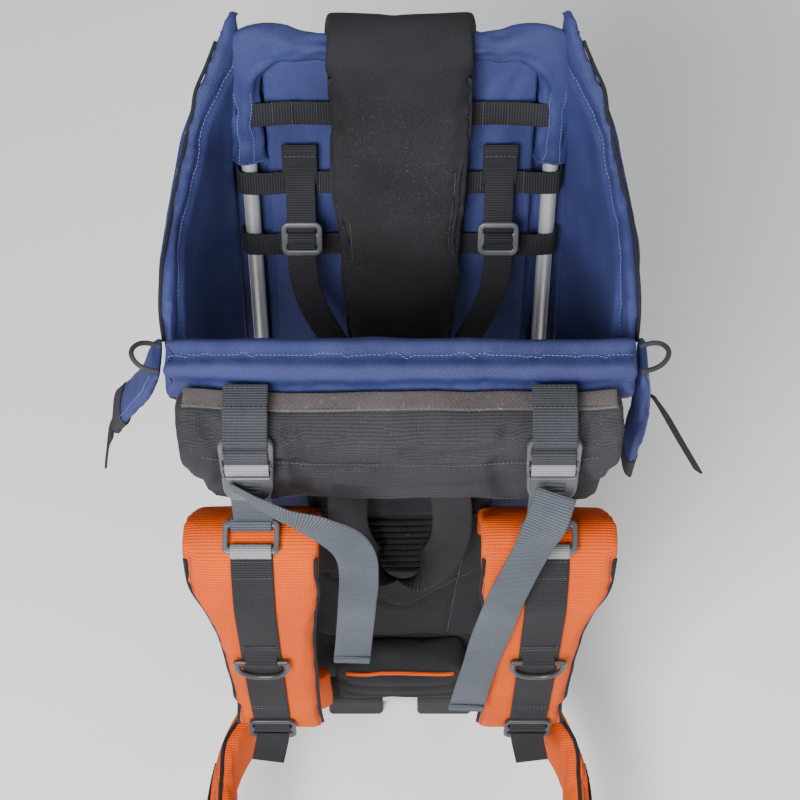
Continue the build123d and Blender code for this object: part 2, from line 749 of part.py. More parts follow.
def lock_point(down, out=0.0):
    """Y and Z of a point down a ladder lock and out from its face."""
    y = lock_tilt_y + down * lock_dir[1] - out * cos(radians(lock_lean))
    z = lock_tilt_z + down * lock_dir[2] + out * sin(radians(lock_lean))
    return y, z


def make_load_buckles():
    face = Plane(
        origin=(shoulder_x - 2, lock_tilt_y, lock_tilt_z), x_dir=(1, 0, 0),
        z_dir=(0, -cos(radians(lock_lean)), sin(radians(lock_lean))),
    )
    outline = Pos(0, lock_bar / 2 - lock_long / 2) * RectangleRounded(lock_wide, lock_long, 1.5)
    wide = webbing + 1.4
    plate = outline - Pos(0, -lock_bar / 2 - 5) * RectangleRounded(wide, 10, 1)
    plate -= Pos(0, -19) * RectangleRounded(wide, 6, 1)
    plate -= Pos(0, -29) * RectangleRounded(wide, 6, 1)
    lock = face * extrude(plate, amount=lock_thick / 2, both=True)
    for side, name in ((1, "right"), (-1, "left")):
        put(f"load_buckle_{name}", lock if side == 1 else mirror(lock, Plane.YZ))


def make_anchor_webbing():
    start_y = collar_front - 4
    level = cushion_top + webbing_thick + 2 * seat_gap + 1
    eye_in = hypot(lock_bar, lock_thick) / 2 + running_gap
    eye_out = eye_in + webbing_thick
    x = shoulder_x - 2
    top = (lock_tilt_y, lock_tilt_z + eye_out - webbing_thick / 2)
    strap = ribbon([(start_y, level), (-46, level), top], [14], webbing_thick, webbing, x)
    eye = ring_along_x(lock_tilt_y, lock_tilt_z, x, eye_in, eye_out, webbing)
    strap -= Pos(x, lock_tilt_y, lock_tilt_z) * Rot(0, 90, 0) * Cylinder(eye_in, webbing + 2)
    put("load_anchor_webbing", both_sides(strap + eye))


def make_loose_tails():
    outlines = {
        "left": (-100, [(-86, 538), (-44, 536), (-20, 512), (-14, 420), (-22, 301), (-51, 303), (-44, 420), (-50, 492),
                        (-84, 508)]),
        "right": (-112, [(104, 528), (74, 528), (60, 436), (38, 238), (66, 235), (90, 436), (104, 500)]),
    }
    for name, (face, points) in outlines.items():
        side = -1 if name == "left" else 1
        outline = make_face(Polyline(*points, close=True))
        sheet = Plane.XZ * extrude(outline, amount=webbing_thick / 2, both=True)
        top = lock_point(20, lock_thick / 2 + 5 * seat_gap + webbing_thick)
        bridge = flat_run((side * shoulder_x, *top), (side * (shoulder_x - 16), face, 520), 28, webbing_thick)
        put(f"load_tail_{name}", Pos(0, face, 0) * sheet + bridge)


ring_y = -79.8
ring_z_top = 465.7
ring_tilt = (-0.35, 0.937)


def make_load_runs():
    x = shoulder_x - 2
    top = lock_point(26, -lock_thick / 2 - seat_gap - webbing_thick / 2)
    run = flat_run((x, *top), (x, ring_y + 9.4, ring_z_top + 6.2), webbing - 2, webbing_thick)
    put("load_webbing", both_sides(run))


def make_shoulder_rings():
    plate = RectangleRounded(40, 24, 3) - RectangleRounded(32.5, 15, 1.5)
    ring = extrude(plate, amount=1.7, both=True)
    face = Plane(origin=(shoulder_x, ring_y, ring_z_top), x_dir=(1, 0, 0), z_dir=(0, *ring_tilt))
    put("shoulder_rings", both_sides(face * ring))


# ---------------------------------------------------------------- loose webbing
def make_grab_handle():
    route = FilletPolyline(
        (36, cushion_low + 9, 0), (34, 392, 0), (2, 326, 0), (-32, 372, 0), (-36, cushion_low + 9, 0),
        radius=[36, 22, 36],
    )
    strap = Plane.XZ * extrude(trace(route, webbing), amount=1.5, both=True)
    put("grab_handle", between(Pos(0, -44, 0) * strap, 200, cushion_low - seat_gap))


def make_strap_ends():
    right = flat_run((175.5, 0, 524), (209, -38, 486), 20, webbing_thick, (0.4, -1, 0.4))
    left = flat_run((-203.5, -6, 491.2), (-214, -6, 452), 20, webbing_thick, (0, 1, 0))
    put("loose_strap_ends", [left, right])


def make_side_straps():
    run = Plane.YZ * extrude(
        trace(Line((50, 440), (12, 338)), 24), amount=400, both=True
    )
    strap = wing_wall(seat_gap + webbing_thick, webbing_thick) & run & Pos(200, 0, 0) * Box(400, 2000, 2000)
    put("side_straps", both_sides(strap))
    slot = RectangleRounded(24.6, 7, 2)
    plate = extrude(RectangleRounded(30, 38, 5) - Pos(0, 8) * slot - Pos(0, -6) * slot, amount=4)
    tilt = degrees(atan2(38, 102))
    return [Pos(side_lock_x, 31, 389) * Rot(-tilt, 0, 0) * (Plane.YZ * plate)]


make_main_frame()
make_rear_frame()
make_clamps()
make_base_feet()
make_hinge_brackets()
make_pivot_bolts()
make_kickstand()
make_storage_bag()
make_rear_panel()
make_bands()
make_child_back_pad()
make_wings()
make_front_lining()
make_seat()
make_harness_straps()
make_harness_sliders()
make_harness_buckle()
make_collar()
make_front_cushion()
make_side_flaps()
make_cord_loops()
make_back()
make_lumbar()
make_hip_fins()
make_hip_belt()
make_shoulder_pads()
make_shoulder_webbing()
make_d_rings()
make_lower_straps()
make_load_buckles()
make_anchor_webbing()
make_load_runs()
make_loose_tails()
make_shoulder_rings()
make_grab_handle()
make_strap_ends()

os.makedirs("parts", exist_ok=True)
front_end = belt_end - seat_gap - 37
rear_end = stand_foot_y + 13
footprint_mid = (front_end + rear_end) / 2
for name, solids in nodes.items():
    moved = [Pos(0, -footprint_mid, 0) * solid for solid in solids]
    shape = moved[0] if len(moved) == 1 else Compound(children=moved)
    export_step(shape, f"parts/{name}.step")
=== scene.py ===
import math

import bmesh
import bpy
from mathutils import Matrix, Vector, noise
from mathutils.bvhtree import BVHTree
from mathutils.kdtree import KDTree


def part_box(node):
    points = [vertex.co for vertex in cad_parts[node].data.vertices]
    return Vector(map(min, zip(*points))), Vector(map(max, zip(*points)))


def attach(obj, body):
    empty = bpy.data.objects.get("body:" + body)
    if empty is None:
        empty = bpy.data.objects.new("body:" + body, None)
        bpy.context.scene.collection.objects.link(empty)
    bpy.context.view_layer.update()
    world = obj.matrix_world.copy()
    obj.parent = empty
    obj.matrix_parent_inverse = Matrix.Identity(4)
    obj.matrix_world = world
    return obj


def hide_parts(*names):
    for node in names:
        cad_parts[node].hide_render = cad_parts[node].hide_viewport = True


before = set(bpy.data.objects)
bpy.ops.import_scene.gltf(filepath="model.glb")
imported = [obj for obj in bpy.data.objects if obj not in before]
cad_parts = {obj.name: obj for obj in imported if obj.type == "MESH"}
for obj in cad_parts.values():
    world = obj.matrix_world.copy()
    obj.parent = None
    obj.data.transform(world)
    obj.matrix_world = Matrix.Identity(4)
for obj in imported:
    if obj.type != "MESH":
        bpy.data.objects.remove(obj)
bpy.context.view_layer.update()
carrier = "carrier"
tubeLow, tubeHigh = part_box("main_frame_tube")
tubePlane = (tubeLow.y + tubeHigh.y) / 2   # every y below is measured from this plane
lean = math.radians(13)   # the child's back frame leans away from the wearer


def place(x, y, z):
    return Vector((x / 1000, y / 1000 + tubePlane, z / 1000))


def rodY(z):
    return 94 + (z - 118) * math.tan(lean)


def onLean(x, z, out):   # out is how far in front of the leaning rods, towards the wearer
    return place(x, rodY(z) - out * math.cos(lean), z + out * math.sin(lean))


def addObject(name, data):
    piece = bpy.data.objects.new(name, data)
    bpy.context.scene.collection.objects.link(piece)
    return piece


# ---- camera, looking down from the wearer's side
viewValues = {"target": (0, -30, 565), "distance": 1.2, "elevation": 57, "turn": 0, "focal": 81}


def makeCamera(v):
    target = place(*v["target"])
    up, turn = math.radians(v["elevation"]), math.radians(v["turn"])
    away = Vector((math.sin(turn) * math.cos(up), -math.cos(turn) * math.cos(up), math.sin(up)))
    lens = bpy.data.cameras.new("frontView")
    lens.lens = v["focal"]
    lens.sensor_width = 36
    camera = addObject("frontView", lens)
    camera.location = target + away * v["distance"]
    camera.rotation_euler = (-away).to_track_quat("-Z", "Y").to_euler()
    bpy.context.scene.camera = camera


makeCamera(viewValues)

# ---- elastic pull loops at the two top corners of the wearer's cushion
loopValues = {
    "route": [(161.1, -15, 577), (172, -17, 582), (181, -5, 586), (172, 7, 582), (161.1, 5, 577)],
    "diameter": 3.5,
    "length": 49,
}


def lineMesh(line):
    holder = addObject("line", line)
    bpy.context.view_layer.update()
    mesh = bpy.data.meshes.new_from_object(holder.evaluated_get(bpy.context.evaluated_depsgraph_get()))
    bpy.data.objects.remove(holder)
    return mesh


def makeLoop(name, side, v):
    line = bpy.data.curves.new(name, "CURVE")
    line.dimensions = "3D"
    spline = line.splines.new("NURBS")
    spline.points.add(len(v["route"]) - 1)
    for point, (x, y, z) in zip(spline.points, v["route"]):
        point.co = (*place(side * x, y, z), 1)
    spline.order_u = 3
    spline.use_endpoint_u = True
    spline.resolution_u = 12
    middle = [vert.co.copy() for vert in lineMesh(line).vertices]
    line.bevel_depth = v["diameter"] / 2000
    line.bevel_resolution = 5
    line.use_fill_caps = True
    mesh = lineMesh(line)
    for face in mesh.polygons:
        face.use_smooth = True
    loop = addObject(name, mesh)
    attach(loop, carrier)
    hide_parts("cord_loops")
    return loop


pullLoops = [makeLoop("pullLoopRight", 1, loopValues), makeLoop("pullLoopLeft", -1, loopValues)]
print("camera and pull loops made")


# ---- finishes
def shaderParts(name):
    material = bpy.data.materials.new(name)
    material.use_nodes = True
    nodes, links = material.node_tree.nodes, material.node_tree.links
    return material, nodes, links, nodes["Principled BSDF"]


def mathNode(nodes, links, operation, first, second=0.0):
    node = nodes.new("ShaderNodeMath")
    node.operation = operation
    for socket, value in zip(node.inputs, (first, second)):
        if isinstance(value, (int, float)):
            socket.default_value = value
        else:
            links.new(value, socket)
    return node.outputs[0]


def bandNode(nodes, links, where, direction, pitch):   # a ripple across that direction, -1 to 1
    dot = nodes.new("ShaderNodeVectorMath")
    dot.operation = "DOT_PRODUCT"
    dot.inputs[1].default_value = [d * 2 * math.pi * 1000 / pitch for d in direction]
    links.new(where, dot.inputs[0])
    return mathNode(nodes, links, "SINE", dot.outputs["Value"])


def noiseNode(nodes, links, where, scale, detail=2.0):
    node = nodes.new("ShaderNodeTexNoise")
    node.inputs["Scale"].default_value = scale
    node.inputs["Detail"].default_value = detail
    links.new(where, node.inputs["Vector"])
    return node.outputs["Fac"]


def rampNode(nodes, links, value, low, high):
    node = nodes.new("ShaderNodeMapRange")
    node.inputs["From Min"].default_value = low
    node.inputs["From Max"].default_value = high
    links.new(value, node.inputs["Value"])
    return node.outputs["Result"]


def mixNode(nodes, links, share, first, second):
    node = nodes.new("ShaderNodeMix")
    node.data_type = "RGBA"
    links.new(share, node.inputs["Factor"])
    for socket, value in zip((node.inputs[6], node.inputs[7]), (first, second)):
        if isinstance(value, tuple):
            socket.default_value = (*value, 1)
        else:
            links.new(value, socket)
    return node.outputs[2]


def bumpNode(nodes, links, height, strength, distance, under=None):
    node = nodes.new("ShaderNodeBump")
    node.inputs["Strength"].default_value = strength
    node.inputs["Distance"].default_value = distance / 1000
    links.new(height, node.inputs["Height"])
    if under:
        links.new(under, node.inputs["Normal"])
    return node.outputs["Normal"]


def weavePlane(nodes, links):   # flat coordinates that follow whichever way a face looks
    source = nodes.new("ShaderNodeTexCoord")
    size = nodes.new("ShaderNodeVectorMath")
    size.operation = "ABSOLUTE"
    links.new(source.outputs["Normal"], size.inputs[0])
    faceTurn, spot = nodes.new("ShaderNodeSeparateXYZ"), nodes.new("ShaderNodeSeparateXYZ")
    links.new(size.outputs[0], faceTurn.inputs[0])
    links.new(source.outputs["Object"], spot.inputs[0])
    ax, ay, az = faceTurn.outputs
    sideways = mathNode(nodes, links, "GREATER_THAN", ax, mathNode(nodes, links, "MAXIMUM", ay, az))
    upwards = mathNode(nodes, links, "GREATER_THAN", az, mathNode(nodes, links, "MAXIMUM", ax, ay))
    planes = []
    for first, second in ((0, 2), (1, 2), (0, 1)):
        plane = nodes.new("ShaderNodeCombineXYZ")
        links.new(spot.outputs[first], plane.inputs[0])
        links.new(spot.outputs[second], plane.inputs[1])
        planes.append(plane.outputs[0])
    where = planes[0]
    for share, other in ((sideways, planes[1]), (upwards, planes[2])):
        mix = nodes.new("ShaderNodeMix")
        mix.data_type = "VECTOR"
        links.new(share, mix.inputs["Factor"])
        links.new(where, mix.inputs[4])
        links.new(other, mix.inputs[5])
        where = mix.outputs[1]
    return where


def makeCloth(name, v):
    material, nodes, links, shader = shaderParts(name)
    if v.get("strip"):
        source = nodes.new("ShaderNodeUVMap")
        source.uv_map = "strip"
        where = source.outputs["UV"]
    else:
        where = weavePlane(nodes, links)
    warp = bandNode(nodes, links, where, v["warp"], v["pitch"])
    weft = bandNode(nodes, links, where, v["weft"], v["pitch"] * v.get("weftShare", 1))
    if v.get("ribbed"):
        weave = mathNode(nodes, links, "ADD", warp, mathNode(nodes, links, "MULTIPLY", weft, v["ribbed"]))
    else:
        weave = mathNode(nodes, links, "MULTIPLY", warp, weft)
    body = nodes.new("ShaderNodeTexCoord").outputs["Object"]
    patches = rampNode(nodes, links, noiseNode(nodes, links, body, v.get("patch", 16), 4), 0.3, 0.72)
    fuzz = noiseNode(nodes, links, body, 700, 3)
    share = mathNode(nodes, links, "MULTIPLY", weave, v.get("contrast", 0.3))
    share = mathNode(nodes, links, "ADD", share, mathNode(nodes, links, "MULTIPLY", patches, 0.45))
    share = mathNode(nodes, links, "ADD", share, mathNode(nodes, links, "MULTIPLY", fuzz, 0.5))
    share = rampNode(nodes, links, share, 0.0, 1.0)
    colour = mixNode(nodes, links, share, v["shade"], v["lit"])
    if v.get("dust"):
        specks = rampNode(nodes, links, noiseNode(nodes, links, body, v.get("speck", 330), 2), 0.62, 0.78)
        where2 = rampNode(nodes, links, noiseNode(nodes, links, body, 9, 2), 0.35, 0.7)
        specks = mathNode(nodes, links, "MULTIPLY", specks, where2)
        specks = mathNode(nodes, links, "MULTIPLY", specks, v["dust"])
        colour = mixNode(nodes, links, specks, colour, v.get("dustColour", (0.35, 0.34, 0.33)))
    links.new(colour, shader.inputs["Base Color"])
    rough = mathNode(nodes, links, "MULTIPLY", patches, 0.12)
    links.new(mathNode(nodes, links, "ADD", rough, v.get("rough", 0.78)), shader.inputs["Roughness"])
    soft = bumpNode(nodes, links, noiseNode(nodes, links, body, v.get("creaseScale", 26), 3),
                    v.get("crease", 0.3), 2.5)
    height = mathNode(nodes, links, "ADD", weave, fuzz)
    normal = bumpNode(nodes, links, height, v.get("depth", 0.5), v.get("relief", 0.25), soft)
    links.new(normal, shader.inputs["Normal"])
    shader.inputs["Sheen Weight"].default_value = v.get("sheen", 0.25)
    shader.inputs["Sheen Roughness"].default_value = 0.45
    shader.inputs["Sheen Tint"].default_value = (*v["lit"], 1)
    shader.inputs["Specular IOR Level"].default_value = v.get("specular", 0.25)
    return material


def makeHard(name, v):
    material, nodes, links, shader = shaderParts(name)
    where = nodes.new("ShaderNodeTexCoord").outputs["Object"]
    patches = rampNode(nodes, links, noiseNode(nodes, links, where, v.get("patch", 40), 4), 0.3, 0.7)
    grain = noiseNode(nodes, links, where, v.get("grain", 1400), 3)
    wear = rampNode(nodes, links, noiseNode(nodes, links, where, 300, 4), 0.6, 0.75)
    share = mathNode(nodes, links, "MULTIPLY", wear, v.get("wear", 0.2))
    share = mathNode(nodes, links, "ADD", share, mathNode(nodes, links, "MULTIPLY", patches, 0.5))
    links.new(mixNode(nodes, links, share, v["shade"], v["lit"]), shader.inputs["Base Color"])
    rough = mathNode(nodes, links, "MULTIPLY", grain, v.get("roughSpread", 0.2))
    links.new(mathNode(nodes, links, "ADD", rough, v["rough"]), shader.inputs["Roughness"])
    links.new(bumpNode(nodes, links, grain, v.get("depth", 0.2), 0.1), shader.inputs["Normal"])
    shader.inputs["Metallic"].default_value = v.get("metal", 0.0)
    shader.inputs["Coat Weight"].default_value = v.get("coat", 0.0)
    shader.inputs["Coat Roughness"].default_value = 0.3
    return material


flatWarp, flatWeft = (0.92, 0.38, 0), (-0.38, 0.92, 0)
ribWeave = {"warp": (0, 1, 0), "weft": (1, 0, 0)}
plainWeave = {"warp": flatWarp, "weft": flatWeft, "pitch": 2.0}
webbingWeave = {**ribWeave, "strip": True, "pitch": 1.9, "weftShare": 0.6, "ribbed": 0.4, "relief": 0.4,
                "crease": 0.1}
clothValues = {
    "blueTwill": {**plainWeave, "lit": (0.040, 0.055, 0.190), "shade": (0.007, 0.009, 0.048), "contrast": 0.2,
                  "sheen": 0.18, "crease": 0.55, "rough": 0.62, "specular": 0.35},
    "charcoalCord": {**ribWeave, "lit": (0.046, 0.046, 0.052), "shade": (0.006, 0.006, 0.008), "sheen": 0.12,
                     "pitch": 2.0, "ribbed": 0.35, "contrast": 0.16, "dust": 0.12, "speck": 900,
                     "crease": 0.6},
    "wornHem": {**plainWeave, "lit": (0.15, 0.13, 0.125), "shade": (0.03, 0.026, 0.026), "dust": 0.6,
                "speck": 200,
                "dustColour": (0.3, 0.26, 0.24)},
    "dustyBlack": {**plainWeave, "lit": (0.026, 0.025, 0.029), "shade": (0.004, 0.004, 0.005),
                   "contrast": 0.14,
                   "dust": 0.22, "speck": 900, "sheen": 0.12, "crease": 0.5},
    "blackCloth": {**plainWeave, "lit": (0.021, 0.021, 0.025), "shade": (0.003, 0.003, 0.004), "sheen": 0.1,
                   "contrast": 0.14, "dust": 0.2, "speck": 900, "crease": 0.5},
    "orangeKnit": {**ribWeave, "lit": (0.74, 0.105, 0.0), "shade": (0.46, 0.042, 0.0), "pitch": 2.1,
                   "weftShare": 0.8, "ribbed": 0.35, "contrast": 0.34, "relief": 0.4, "sheen": 0.05,
                   "crease": 0.35},
    "blackWebbing": {**webbingWeave, "lit": (0.030, 0.030, 0.034), "shade": (0.004, 0.004, 0.005),
                     "sheen": 0.1,
                     "pitch": 2.0, "weftShare": 0.55},
    "greyWebbing": {**webbingWeave, "lit": (0.108, 0.120, 0.142), "shade": (0.026, 0.030, 0.040)},
    "darkWebbing": {**webbingWeave, "lit": (0.066, 0.070, 0.080), "shade": (0.011, 0.012, 0.015),
                    "sheen": 0.12},
    "paleWebbing": {**webbingWeave, "lit": (0.32, 0.33, 0.345), "shade": (0.13, 0.135, 0.14), "pitch": 1.7,
                    "dust": 0.3, "dustColour": (0.4, 0.12, 0.06)},
}
hardValues = {
    "satinTube": {"lit": (0.74, 0.75, 0.77), "shade": (0.62, 0.63, 0.64), "rough": 0.36, "metal": 0.7,
                  "grain": 900,
                  "depth": 0.08, "wear": 0.3},
    "mouldedBlack": {"lit": (0.05, 0.05, 0.053), "shade": (0.014, 0.014, 0.016), "rough": 0.34, "coat": 0.1},
    "mouldedGrey": {"lit": (0.13, 0.135, 0.145), "shade": (0.045, 0.047, 0.052), "rough": 0.3, "coat": 0.15},
    "redButton": {"lit": (0.55, 0.03, 0.02), "shade": (0.35, 0.012, 0.01), "rough": 0.25, "coat": 0.3},
    "boltSteel": {"lit": (0.5, 0.5, 0.5), "shade": (0.33, 0.33, 0.33), "rough": 0.3, "metal": 1.0},
    "footRubber": {"lit": (0.03, 0.03, 0.03), "shade": (0.012, 0.012, 0.012), "rough": 0.72, "depth": 0.4},
    "sewingThread": {"lit": (0.10, 0.10, 0.12), "shade": (0.04, 0.04, 0.05), "rough": 0.7},
    "blueThread": {"lit": (0.16, 0.19, 0.42), "shade": (0.08, 0.10, 0.28), "rough": 0.7},
}
finishes = {name: makeCloth(name, v) for name, v in clothValues.items()}
finishes.update({name: makeHard(name, v) for name, v in hardValues.items()})
finishes["blackCord"] = makeHard("blackCord", {"lit": (0.05, 0.05, 0.055), "shade": (0.008, 0.008, 0.01),
                                               "rough": 0.7,
                                               "grain": 900, "depth": 0.6})
for loop in pullLoops:
    loop.data.materials.append(finishes["blackCord"])
print("finishes made")


# ---- shared makers
def meshFrom(name, points, faces, finish):
    mesh = bpy.data.meshes.new(name)
    mesh.from_pydata([tuple(p) for p in points], [], faces)
    mesh.materials.append(finishes[finish])
    mesh.update()
    return mesh


def turnOutwards(mesh):
    work = bmesh.new()
    work.from_mesh(mesh)
    bmesh.ops.remove_doubles(work, verts=work.verts, dist=1e-6)
    bmesh.ops.recalc_face_normals(work, faces=work.faces)
    for face in work.faces:
        face.smooth = True
    work.to_mesh(mesh)
    work.free()


def ridesOn(piece, body, replaced=()):
    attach(piece, body)
    if replaced:
        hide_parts(*replaced)
    return piece


def smoothPath(points, step):   # a soft line through the points
    path = []
    padded = [points[0] * 2 - points[1], *points, points[-1] * 2 - points[-2]]
    for a, b, c, d in zip(padded, padded[1:], padded[2:], padded[3:]):
        count = max(2, round((c - b).length / step))
        for i in range(count):
            t = i / count
            path.append(0.5 * (2 * b + (c - a) * t + (2 * a - 5 * b + 4 * c - d) * t * t
                               + (3 * b - a - 3 * c + d) * t * t * t))
    path.append(points[-1].copy())
    return path


def blended(values, points, path):   # values given at the route's points, spread along its path
    spots = []
    start = 0
    for point in points:
        best = min(range(start, len(path)), key=lambda i: (path[i] - point).length)
        spots.append(best)
        start = best
    out = []
    for i in range(len(path)):
        k = max(0, max((j for j, s in enumerate(spots) if s <= i), default=0))
        if k >= len(spots) - 1:
            out.append(values[-1].copy())
            continue
        gap = max(1, spots[k + 1] - spots[k])
        t = (i - spots[k]) / gap
        out.append(values[k].lerp(values[k + 1], t * t * (3 - 2 * t)))
    return out


def makeStrap(name, route, side, width, thick, finish, body, replaced=(), step=2.5, wave=0.0,
              seed=1):
    path = smoothPath(route, step / 1000)
    if isinstance(side, list):
        sides = blended([Vector(s) for s in side], route, path)
    else:
        sides = [Vector(side)] * len(path)
    half, t = width / 2000, thick / 2000
    section = [(-half, 0), (-half + 0.3 * t, 0.75 * t), (-half + 1.4 * t, t), (-half * 0.5, 0.9 * t),
               (0, 0.95 * t),
               (half * 0.5, 0.9 * t), (half - 1.4 * t, t), (half - 0.3 * t, 0.75 * t), (half, 0)]
    section += [(a, -b) for a, b in section[-2:0:-1]]
    points, uvs, along = [], [], 0.0
    for i, here in enumerate(path):
        ahead = path[min(i + 1, len(path) - 1)] - path[max(i - 1, 0)]
        run = ahead.normalized()
        across = (sides[i] - run * sides[i].dot(run)).normalized()
        out = run.cross(across)
        if i:
            along += (here - path[i - 1]).length
        shift = wave / 1000 * noise.noise(Vector((along * 22, seed * 7.3, 0))) * min(1, along * 40)
        for a, b in section:
            points.append(here + across * a + out * (b + shift))
            uvs.append((a, along))
    ring = len(section)
    faces = []
    for i in range(len(path) - 1):
        for k in range(ring):
            m = (k + 1) % ring
            faces.append((i * ring + k, i * ring + m, (i + 1) * ring + m, (i + 1) * ring + k))
    faces.append(tuple(range(ring)))
    faces.append(tuple(range((len(path) - 1) * ring, len(path) * ring)))
    mesh = meshFrom(name, points, faces, finish)
    layer = mesh.uv_layers.new(name="strip")
    for corner in mesh.loops:
        layer.data[corner.index].uv = uvs[corner.vertex_index]
    turnOutwards(mesh)
    return ridesOn(addObject(name, mesh), body, replaced)


def roundedLoop(wide, high, corner, x=0.0, y=0.0, count=6):
    points = []
    for cx, cy, start in ((1, 1, 0), (-1, 1, 90), (-1, -1, 180), (1, -1, 270)):
        for i in range(count + 1):
            turn = math.radians(start + 90 * i / count)
            points.append((x + cx * (wide / 2 - corner) + corner * math.cos(turn),
                           y + cy * (high / 2 - corner) + corner * math.sin(turn)))
    return points


def plateMesh(name, loops, thick, rounding, finish):   # a flat moulded plate with windows, edges rounded
    flat = bpy.data.curves.new(name, "CURVE")
    flat.dimensions = "2D"
    flat.fill_mode = "BOTH"
    for loop in loops:
        spline = flat.splines.new("POLY")
        spline.points.add(len(loop) - 1)
        spline.use_cyclic_u = True
        for point, (x, y) in zip(spline.points, loop):
            point.co = (x / 1000, y / 1000, 0, 1)
    flat.extrude = (thick / 2 - rounding) / 1000
    flat.bevel_depth = rounding / 1000
    flat.bevel_resolution = 3
    flat.offset = -rounding / 1000
    mesh = lineMesh(flat)
    mesh.materials.clear()
    mesh.materials.append(finishes[finish])
    turnOutwards(mesh)
    return mesh


def facing(origin, across, outwards):   # places a flat plate: its x lies along across, its z outwards
    z = Vector(outwards).normalized()
    x = Vector(across)
    x = (x - z * x.dot(z)).normalized()
    y = z.cross(x)
    return Matrix((
        (x.x, y.x, z.x, origin.x), (x.y, y.y, z.y, origin.y), (x.z, y.z, z.z, origin.z), (0, 0, 0, 1),
    ))


def makeTubePiece(name, routes, radius, finish, body):   # piping and cord edging
    line = bpy.data.curves.new(name, "CURVE")
    line.dimensions = "3D"
    for route in routes:
        spline = line.splines.new("POLY")
        spline.points.add(len(route) - 1)
        for point, here in zip(spline.points, route):
            point.co = (*here, 1)
    line.bevel_depth = radius / 1000
    line.bevel_resolution = 2
    line.use_fill_caps = True
    mesh = lineMesh(line)
    mesh.materials.clear()
    mesh.materials.append(finishes[finish])
    turnOutwards(mesh)
    return ridesOn(addObject(name, mesh), body)


def makeRowTree():   # one small round bar after another along each line
    tree = bpy.data.node_groups.new("rowAlongLine", "GeometryNodeTree")
    face = tree.interface
    face.new_socket("Line", in_out="INPUT", socket_type="NodeSocketGeometry")
    names = {}
    for label, kind in (("Pitch", "Float"), ("Bar length", "Float"), ("Bar radius", "Float"),
                        ("Bar turn", "Vector"), ("Finish", "Material")):
        names[label] = face.new_socket(label, in_out="INPUT", socket_type="NodeSocket" + kind).identifier
    face.new_socket("Row", in_out="OUTPUT", socket_type="NodeSocketGeometry")
    nodes, links = tree.nodes, tree.links
    given, result = nodes.new("NodeGroupInput"), nodes.new("NodeGroupOutput")
    points = nodes.new("GeometryNodeCurveToPoints")
    points.mode = "LENGTH"
    bar = nodes.new("GeometryNodeMeshCylinder")
    bar.inputs["Vertices"].default_value = 6
    turned = nodes.new("GeometryNodeTransform")
    copies = nodes.new("GeometryNodeInstanceOnPoints")
    real = nodes.new("GeometryNodeRealizeInstances")
    painted = nodes.new("GeometryNodeSetMaterial")
    links.new(given.outputs["Line"], points.inputs["Curve"])
    links.new(given.outputs["Pitch"], points.inputs["Length"])
    links.new(given.outputs["Bar length"], bar.inputs["Depth"])
    links.new(given.outputs["Bar radius"], bar.inputs["Radius"])
    links.new(bar.outputs["Mesh"], turned.inputs["Geometry"])
    links.new(given.outputs["Bar turn"], turned.inputs["Rotation"])
    links.new(points.outputs["Points"], copies.inputs["Points"])
    links.new(points.outputs["Rotation"], copies.inputs["Rotation"])
    links.new(turned.outputs["Geometry"], copies.inputs["Instance"])
    links.new(copies.outputs["Instances"], real.inputs["Geometry"])
    links.new(real.outputs["Geometry"], painted.inputs["Geometry"])
    links.new(given.outputs["Finish"], painted.inputs["Material"])
    links.new(painted.outputs["Geometry"], result.inputs["Row"])
    return tree, names


rowTree, rowInputs = makeRowTree()


def makeRows(name, lines, v, body):
    line = bpy.data.curves.new(name, "CURVE")
    line.dimensions = "3D"
    for route in lines:
        spline = line.splines.new("POLY")
        spline.points.add(len(route) - 1)
        for point, here in zip(spline.points, route):
            point.co = (*here, 1)
    holder = addObject(name + "Line", line)
    rows = holder.modifiers.new("rows", "NODES")
    rows.node_group = rowTree
    rows[rowInputs["Pitch"]] = v["pitch"] / 1000
    rows[rowInputs["Bar length"]] = v["length"] / 1000
    rows[rowInputs["Bar radius"]] = v["radius"] / 1000
    rows[rowInputs["Bar turn"]] = [math.radians(a) for a in v.get("turn", (0, 0, 0))]
    rows[rowInputs["Finish"]] = finishes[v["finish"]]
    bpy.context.view_layer.update()
    mesh = bpy.data.meshes.new_from_object(holder.evaluated_get(bpy.context.evaluated_depsgraph_get()))
    bpy.data.objects.remove(holder)
    for face in mesh.polygons:
        face.use_smooth = True
    return ridesOn(addObject(name, mesh), body)


def surfaceOf(piece):
    work = bmesh.new()
    work.from_mesh(piece.data)
    tree = BVHTree.FromBMesh(work)
    work.free()
    return tree


def normalsOf(mesh):   # read in one go, because moving a vertex makes its neighbours' normals stale
    return [v.normal.copy() for v in mesh.vertices]


def cast(tree, point, direction, lift):   # slides a point along a direction until it lies on the piece
    way = Vector(direction).normalized()
    hit = tree.ray_cast(point - way * 0.3, way)
    if hit[0] is None:
        spot, normal = tree.find_nearest(point)[:2]
        return spot + normal * lift / 1000
    return hit[0] - way * lift / 1000


def nearest(tree, point, lift):
    spot, normal = tree.find_nearest(point)[:2]
    return spot + normal * lift / 1000


def onPiece(tree, points, direction, lift, step=3.0):
    path = smoothPath(points, step / 1000)
    if direction is None:
        return [nearest(tree, p, lift) for p in path]
    return [cast(tree, p, direction, lift) for p in path]


def pressSeam(piece, path, width, depth, pucker=0.4):   # pulls the padding in along a sewn line
    near = KDTree(len(path))
    for i, p in enumerate(path):
        near.insert(p, i)
    near.balance()
    reach = width / 1000
    for v, normal in zip(piece.data.vertices, normalsOf(piece.data)):
        _, index, away = near.find(v.co)
        if away < reach:
            fall = (1 - (away / reach) ** 2) ** 2
            wave = 1 + pucker * noise.noise(Vector((index * 0.45, 1.7, 0.3)))
            v.co -= normal * depth / 1000 * fall * wave
    piece.data.update()


